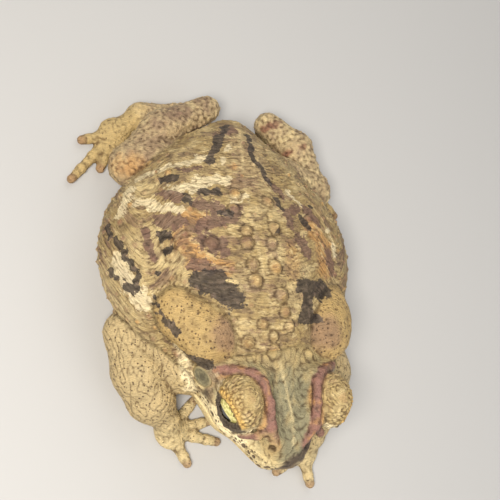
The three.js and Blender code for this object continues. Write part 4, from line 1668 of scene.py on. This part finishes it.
@dataclass(frozen=True)
class SkinFinish:
    """Dry warty skin with mottling, dark blotches, dots and creases, with painted shade in creases and
    hollows, a painted highlight on ridges and warts, and a strip of painted shade beside the pelvic ridge.
    """

    dot_color: Color = (0.075, 0.04, 0.02, 1)
    blotch_and_shade_color: Color = (*Tint.DARK.value, 1)
    blotch_tone_and_highlight: Color = (0.125, 0.09, 0.065, 1)
    roughness: float = 0.42

    def material(self) -> bpy.types.Material:
        """Makes the material, or finds the one made before.

        Returns:
            The material.
        """
        if "toad skin" in bpy.data.materials:
            return bpy.data.materials["toad skin"]
        material = bpy.data.materials.new("toad skin")
        material.use_nodes = True
        g = Graph(material.node_tree)
        place, flow, hollow = g.place(), g.attribute("flow", "Vector"), g.attribute("hollow")
        along = g.scaled(flow, (0.3, 1.0, 0.4))
        fine = g.group(wrinkle_effect(), {"Vector": along, "Spacing": 1.0, "Sharpness": 6.0})
        finer = g.group(wrinkle_effect(), {"Vector": g.scaled(flow, (0.5, 1.0, 0.6)), "Spacing": 0.5})
        grain = g.noise(g.scaled(place, 1.6), 5.0, 0.65)
        streak = g.attribute("streak")
        color = self.mottled(g, g.attribute("ground", "Color"), flow, streak)
        color = g.mix(1.0, color, g.mix(grain, (0.7, 0.68, 0.64, 1), (1.45, 1.45, 1.43, 1)), "MULTIPLY")
        color, pits = self.dotted(g, color, place)
        color = self.blotched(g, color, place, hollow)
        # Painted shade along the fine creases, stronger where the streaks are strong.
        crease_shade_strength = g.math("MULTIPLY_ADD", streak, 0.3, 0.06)
        color = g.darken(g.math("MULTIPLY", fine, crease_shade_strength), color, (0.4, 0.33, 0.27))
        faint_crease_shade = g.math("MULTIPLY", finer, g.math("MULTIPLY", streak, 0.15))
        color = g.darken(faint_crease_shade, color, (0.5, 0.44, 0.38))
        # Painted shade in hollows and creases.
        color = g.darken(g.math("MAXIMUM", hollow, 0.0), color, (0.3, 0.24, 0.18))
        # Painted highlight on ridges and warts.
        ridge_highlight = g.math("MAXIMUM", g.math("MULTIPLY", hollow, -0.4), 0.0)
        color = g.darken(ridge_highlight, color, (1.6, 1.55, 1.45))
        height = g.math("SUBTRACT", g.math("MULTIPLY", grain, 0.3), g.math("MULTIPLY", fine, 0.22))
        height = g.math("SUBTRACT", height, g.math("MULTIPLY", finer, 0.1))
        height = g.math("SUBTRACT", height, g.math("MULTIPLY", pits, 0.08))
        bump = g.add("Bump", {"Height": height, "Distance": MM, "Strength": 1.0})
        shader = material.node_tree.nodes["Principled BSDF"]
        g.feed(shader.inputs["Base Color"], color)
        g.feed(shader.inputs["Normal"], bump.outputs[0])
        g.feed(shader.inputs["Roughness"], g.math("MULTIPLY_ADD", grain, 0.35, self.roughness))
        return material

    def mottled(self, g: Graph, color: Socket, flow: Socket, streak: Socket) -> Socket:
        """Streaks a colour with cream, purple and brown along the wrinkles.

        Args:
            g: The material's graph.
            color: The colour to streak.
            flow: Places along and across the wrinkles, in mm.
            streak: How strong the streaks are.

        Returns:
            The streaked colour.
        """
        mottle = g.noise(g.scaled(flow, (0.13, 0.28, 0.2)), 8.0, 0.62)
        light = g.math("MULTIPLY", g.rise(mottle, 0.54, 0.6), streak)
        color = g.mix(g.math("MULTIPLY", light, 0.5), color, (*Tint.CREAM.value, 1))
        shade = g.math("MULTIPLY", g.rise(mottle, 0.45, 0.38), streak)
        color = g.mix(g.math("MULTIPLY", shade, 0.6), color, (*Tint.BROWN.value, 1))
        patches = g.noise(g.scaled(flow, (0.08, 0.12, 0.1)), 6.0, 0.62)
        purple = g.math("MULTIPLY", g.rise(patches, 0.56, 0.61), streak)
        return g.mix(g.math("MULTIPLY", purple, 0.55), color, (*Tint.PURPLE.value, 1))

    def dotted(self, g: Graph, color: Socket, place: Socket) -> tuple[Socket, Socket]:
        """Adds small dots on limbs and glands, and larger ones along the lips.

        Args:
            g: The material's graph.
            color: The colour under the dots.
            place: Places on the toad, in mm.

        Returns:
            The dotted colour, and the mask of the small dots.
        """
        dots, spots = g.attribute("dots"), g.attribute("spots")
        inputs = {"Vector": place, "Spacing": 1.3, "Size": g.math("MULTIPLY", dots, 0.24)}
        small = g.group(speckle_effect(), inputs)
        color = g.mix(g.math("MULTIPLY", small, 0.85), color, self.dot_color)
        inputs = {"Vector": place, "Spacing": 1.7, "Size": g.math("MULTIPLY", spots, 0.46)}
        large = g.group(speckle_effect(), inputs)
        return g.mix(g.math("MULTIPLY", large, 0.9), color, self.dot_color), small

    def blotched(self, g: Graph, color: Socket, place: Socket, hollow: Socket) -> Socket:
        """Lays the dark blotches, and a strip of painted shade beside the pelvic ridge, with ragged edges
        over a colour; raised skin inside them gets a painted highlight.

        Args:
            g: The material's graph.
            color: The colour round the blotches.
            place: Places on the toad, in mm.
            hollow: Where the skin is sunk, and below 0 where it is raised.

        Returns:
            The blotched colour.
        """
        swing = g.math("SUBTRACT", g.noise(g.scaled(place, 0.6), 8.0, 0.68), 0.5)
        for name, tint, strength in (("pale", Tint.WHITE, 0.75), ("purple", Tint.PURPLE, 0.85)):
            patch = g.rise(g.math("MULTIPLY_ADD", swing, 2.4, g.attribute(name)), 0.14, 0.26)
            color = g.mix(g.math("MULTIPLY", patch, strength), color, (*tint.value, 1))
        # The dark blotches, and the strip of painted shade beside the pelvic ridge.
        blotch_and_ridge_shade = g.rise(g.math("MULTIPLY_ADD", swing, 1.7, g.attribute("dark")), 0.12, 0.2)
        # Paler tone inside the blotches: partly random, partly a painted highlight on raised skin.
        lit = g.math("SUBTRACT", g.noise(g.scaled(place, 0.5), 5.0, 0.7), g.math("MULTIPLY", hollow, 0.3))
        inner = g.mix(g.rise(lit, 0.5, 0.75), self.blotch_and_shade_color, self.blotch_tone_and_highlight)
        return g.mix(g.math("MULTIPLY", blotch_and_ridge_shade, 0.93), color, inner)


@dataclass(frozen=True)
class EyeFinish:
    """A wet eye with a black oval pupil and a green gold iris."""

    pupil_half: tuple[float, float] = (0.5, 0.24)
    pupil_color: Color = (0.003, 0.003, 0.003, 1)
    iris_colors: tuple[Color, Color] = ((0.42, 0.38, 0.09, 1), (0.74, 0.66, 0.27, 1))
    lower_colors: tuple[Color, Color] = ((0.05, 0.045, 0.02, 1), (0.2, 0.18, 0.06, 1))
    halo_color: Color = (0.8, 0.72, 0.32, 1)
    roughness: float = 0.3
    wet_roughness: float = 0.03

    def material(self) -> bpy.types.Material:
        """Makes the material, or finds the one made before.

        Returns:
            The material.
        """
        if "toad eye" in bpy.data.materials:
            return bpy.data.materials["toad eye"]
        material = bpy.data.materials.new("toad eye")
        material.use_nodes = True
        g = Graph(material.node_tree)
        gaze = g.attribute("gaze", "Vector")
        wide, high = self.pupil_half
        oval = g.add("VectorMath", {0: g.scaled(gaze, (1 / wide, 1 / high, 0.0))}, operation="LENGTH")
        pupil = g.rise(oval.outputs["Value"], 1.06, 0.96)
        above = g.add("SeparateXYZ", {0: gaze}).outputs[1]
        veins = g.rise(g.noise(g.scaled(gaze, (9.0, 9.0, 3.0)), 6.0), 0.38, 0.62)
        halo = g.rise(oval.outputs["Value"], 1.35, 1.05)
        iris = g.mix(g.math("MULTIPLY", halo, 0.6), g.mix(veins, *self.iris_colors), self.halo_color)
        color = g.mix(g.rise(above, 0.0, -0.22), iris, g.mix(veins, *self.lower_colors))
        color = g.mix(pupil, color, self.pupil_color)
        shader = material.node_tree.nodes["Principled BSDF"]
        g.feed(shader.inputs["Base Color"], color)
        shader.inputs["Roughness"].default_value = self.roughness
        shader.inputs["Coat Weight"].default_value = 1.0
        shader.inputs["Coat Roughness"].default_value = self.wet_roughness
        return material


@dataclass(frozen=True)
class DrumFinish:
    """Thin grey-brown skin with a paler rim, darker in the middle."""

    patch_colors: tuple[Color, Color] = ((0.12, 0.105, 0.06, 1), (0.26, 0.225, 0.125, 1))
    rim_color: Color = (0.34, 0.27, 0.14, 1)
    middle_color: Color = (0.08, 0.07, 0.045, 1)
    roughness: float = 0.42

    def material(self) -> bpy.types.Material:
        """Makes the material, or finds the one made before.

        Returns:
            The material.
        """
        if "ear drum" in bpy.data.materials:
            return bpy.data.materials["ear drum"]
        material = bpy.data.materials.new("ear drum")
        material.use_nodes = True
        g = Graph(material.node_tree)
        place, share = g.place(), g.attribute("rim")
        patchy = g.noise(g.scaled(place, 0.9), 4.0)
        color = g.mix(g.rise(patchy, 0.35, 0.7), *self.patch_colors)
        color = g.mix(g.rise(share, 0.72, 0.95), color, self.rim_color)
        middle = g.math("MULTIPLY", g.rise(share, 0.6, 0.1), 0.7)
        color = g.mix(middle, color, self.middle_color)
        fine = g.group(wrinkle_effect(), {"Vector": place, "Spacing": 0.7})
        bump = g.add("Bump", {"Height": g.math("MULTIPLY", fine, -0.06), "Distance": MM, "Strength": 1.0})
        shader = material.node_tree.nodes["Principled BSDF"]
        g.feed(shader.inputs["Base Color"], color)
        g.feed(shader.inputs["Normal"], bump.outputs[0])
        shader.inputs["Roughness"].default_value = self.roughness
        return material


# Eyes and ear drums


@dataclass
class Eye:
    """An eyeball that looks out between its lids."""

    side: Side
    form: Form = field(default_factory=Form)
    rings: int = 40
    sides: int = 64

    def build(self) -> bpy.types.Object:
        """Makes a ball whose pole is the middle of the pupil.

        Returns:
            The eye's piece.
        """
        _, up, _ = self.form.looking(self.side)
        turn = np.arange(self.sides) * 2 * math.pi / self.sides
        rows = [np.array([[0.0, 0.0, 1.0]])]
        for i in range(1, self.rings):
            tilt = math.pi * i / self.rings
            ahead = np.full(self.sides, math.cos(tilt))
            rows.append(np.array([np.sin(tilt) * np.cos(turn), np.sin(tilt) * np.sin(turn), ahead]).T)
        rows.append(np.array([[0.0, 0.0, -1.0]]))
        ways = np.concatenate(rows)
        gaze = self.gaze()
        side_way = np.cross(up, gaze)
        side_way /= np.linalg.norm(side_way)
        basis = np.array([side_way, np.cross(gaze, side_way), gaze])
        points = np.array(on_head(self.side, self.form.eye_centre)) + self.form.eye_radius * ways @ basis
        obj = mesh_object(f"eye_{self.side.word}_ball", points, ball_faces(self.rings, self.sides))
        store(obj.data, "gaze", ways)
        obj.data.materials.append(EyeFinish().material())
        return obj

    def gaze(self) -> np.ndarray:
        """Gives the direction of the pupil."""
        out, up, _ = self.form.looking(self.side)
        return (out - 0.2 * up) / np.linalg.norm(out - 0.2 * up)


def ball_faces(rings: int, sides: int) -> np.ndarray:
    """Joins rings of points between two poles into triangles.

    Args:
        rings: How many steps there are from pole to pole.
        sides: How many points each ring has.

    Returns:
        The point numbers of each triangle, facing outwards.
    """

    def at(i: int, j: int) -> int:
        """Gives the number of a point by its ring and its place on the ring."""
        return 0 if i == 0 else 1 + (i - 1) * sides + (j % sides if i < rings else 0)

    faces = []
    for i in range(rings):
        for j in range(sides):
            if i > 0:
                faces.append((at(i, j), at(i + 1, j), at(i, j + 1)))
            if i < rings - 1:
                faces.append((at(i, j + 1), at(i + 1, j), at(i + 1, j + 1)))
    return np.array(faces)


@dataclass
class EarDrum:
    """The thin round skin of an ear drum, with a raised ring and a sunk middle."""

    side: Side
    form: Form = field(default_factory=Form)
    radius: float = 4.3
    front: float = 0.85
    back: float = 0.8
    ring_rise: float = 0.35
    ring_at: float = 0.78
    ring_width: float = 0.12
    rings: int = 18
    sides: int = 48

    def build(self) -> bpy.types.Object:
        """Makes a closed lens that fills the drum's seat.

        Returns:
            The drum's piece.
        """
        low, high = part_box(f"ear_drum_{self.side.word}")
        middle = np.array((low + high) / 2) / MM - toad_origin()
        e = np.eye(3) * 0.05
        start = np.array(on_head(self.side, self.form.drum_near))
        normal = self.form.body(start + e) - self.form.body(start - e)
        normal /= np.linalg.norm(normal)
        across = np.cross(normal, [0, 0, 1])
        across /= np.linalg.norm(across)
        above = np.cross(normal, across)
        points, rim = [middle + self.front * normal], [0.0]
        turn = np.arange(self.sides) * 2 * math.pi / self.sides
        ways = np.cos(turn)[:, None] * across + np.sin(turn)[:, None] * above
        for i in range(1, self.rings):
            share = min(2 * i / self.rings, 2 - 2 * i / self.rings)
            height = -self.back
            if i <= self.rings / 2:
                ring = math.exp(-(((share - self.ring_at) / self.ring_width) ** 2))
                height = self.front + self.ring_rise * ring
            points.extend(middle + height * normal + max(share, 0.04) * self.radius * ways)
            rim += [share] * self.sides
        points.append(middle - self.back * normal)
        faces = ball_faces(self.rings, self.sides)
        obj = mesh_object(f"ear_drum_{self.side.word}_skin", np.array(points), faces)
        store(obj.data, "rim", np.array([*rim, 0.0]))
        obj.data.materials.append(DrumFinish().material())
        return obj


# The stage


@dataclass(frozen=True)
class Lamp:
    """A square soft light, with its place in mm, its side in metres and its power in watts."""

    name: str
    place: Point
    side: float
    power: float
    color: Point


@dataclass(frozen=True)
class Stage:
    """A pale floor, soft studio light, and the camera at the photograph's angle."""

    eye: Point = (-156.5, -75.0, 325.2)
    azimuth: float = -59.9
    elevation: float = 58.7
    roll: float = 58.1
    view_angle: float = 31.1
    sensor: float = 36.0
    sky: float = 0.28
    floor_reach: float = 3000.0
    floor_z: float = -0.02
    floor_color: Color = (0.5, 0.49, 0.475, 1)
    lamps: tuple[Lamp, ...] = (
        Lamp("key", (-270, -130, 450), 0.16, 3.3, (1.0, 0.96, 0.9)),
        Lamp("fill", (300, -260, 330), 0.6, 0.9, (0.97, 0.98, 1.0)),
        Lamp("rim", (120, 420, 380), 0.5, 1.0, (1.0, 0.98, 0.95)),
    )

    def build(self) -> None:
        """Makes the floor, the lights and the camera."""
        self.floor()
        for lamp in self.lamps:
            self.light(lamp)
        world = bpy.data.worlds.new("studio")
        world.use_nodes = True
        background = world.node_tree.nodes["Background"].inputs
        background["Color"].default_value = (1, 1, 1, 1)
        background["Strength"].default_value = self.sky
        bpy.context.scene.world = world
        self.camera()
        bpy.context.scene.view_settings.view_transform = "Standard"

    def floor(self) -> None:
        """Makes a wide pale floor under the toad."""
        quarters = ((-1, -1), (1, -1), (1, 1), (-1, 1))
        corners = np.array([(x * self.floor_reach, y * self.floor_reach, self.floor_z) for x, y in quarters])
        obj = mesh_object("studio_floor", corners, np.array([[0, 1, 2, 3]]))
        material = bpy.data.materials.new("pale floor")
        material.use_nodes = True
        shader = material.node_tree.nodes["Principled BSDF"]
        shader.inputs["Base Color"].default_value = self.floor_color
        shader.inputs["Roughness"].default_value = 0.85
        obj.data.materials.append(material)

    def light(self, lamp: Lamp) -> None:
        """Adds a light that faces the toad.

        Args:
            lamp: The light's values, with its place in the toad frame.
        """
        data = bpy.data.lights.new(lamp.name, "AREA")
        data.size, data.energy, data.color = lamp.side, lamp.power, lamp.color
        obj = bpy.data.objects.new(lamp.name, data)
        obj.location = Vector((np.array(lamp.place) + toad_origin()) * MM)
        obj.rotation_euler = (Vector((0, 0, 0.02)) - obj.location).to_track_quat("-Z", "Y").to_euler()
        bpy.context.scene.collection.objects.link(obj)

    def camera(self) -> None:
        """Adds the camera, turned about its own line of sight as in the photograph."""
        azimuth, elevation, roll = map(math.radians, (self.azimuth, self.elevation, self.roll))
        back = Vector((math.sin(azimuth), -math.cos(azimuth), math.tan(elevation))).normalized()
        level = (-back).cross(Vector((0, 0, 1))).normalized()
        above = level.cross(-back)
        right = math.cos(roll) * level + math.sin(roll) * above
        up = math.cos(roll) * above - math.sin(roll) * level
        data = bpy.data.cameras.new("camera")
        data.sensor_width = self.sensor
        data.lens = self.sensor / 2 / math.tan(math.radians(self.view_angle) / 2)
        obj = bpy.data.objects.new("camera", data)
        turn = Matrix((right, up, back)).transposed().to_4x4()
        obj.matrix_world = Matrix.Translation((np.array(self.eye) + toad_origin()) * MM) @ turn
        bpy.context.scene.collection.objects.link(obj)
        bpy.context.scene.camera = obj


def ride(obj: bpy.types.Object, nodes: Sequence[str]) -> None:
    """Fixes a piece to the toad, in place of the solids that it stands for.

    Args:
        obj: The piece.
        nodes: The names of the solids that it replaces.
    """
    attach(obj, "root")
    if nodes:
        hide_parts(*nodes)
    log.info("%s: %d faces, in place of %d solids", obj.name, len(obj.data.polygons), len(nodes))


def main() -> None:
    """Builds the toad's pieces and the stage."""
    logging.basicConfig(level=logging.INFO, format="%(name)s: %(message)s")
    Stage().build()
    flesh = [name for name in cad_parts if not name.startswith(("eye_", "ear_drum_"))]
    skin = Skin().build()
    ride(skin, flesh)
    ride(Granules(skin).build(), [])
    for side in Side:
        ride(Eye(side).build(), [f"eye_{side.word}"])
        ride(EarDrum(side).build(), [f"ear_drum_{side.word}"])


if __name__ == "__main__":
    main()
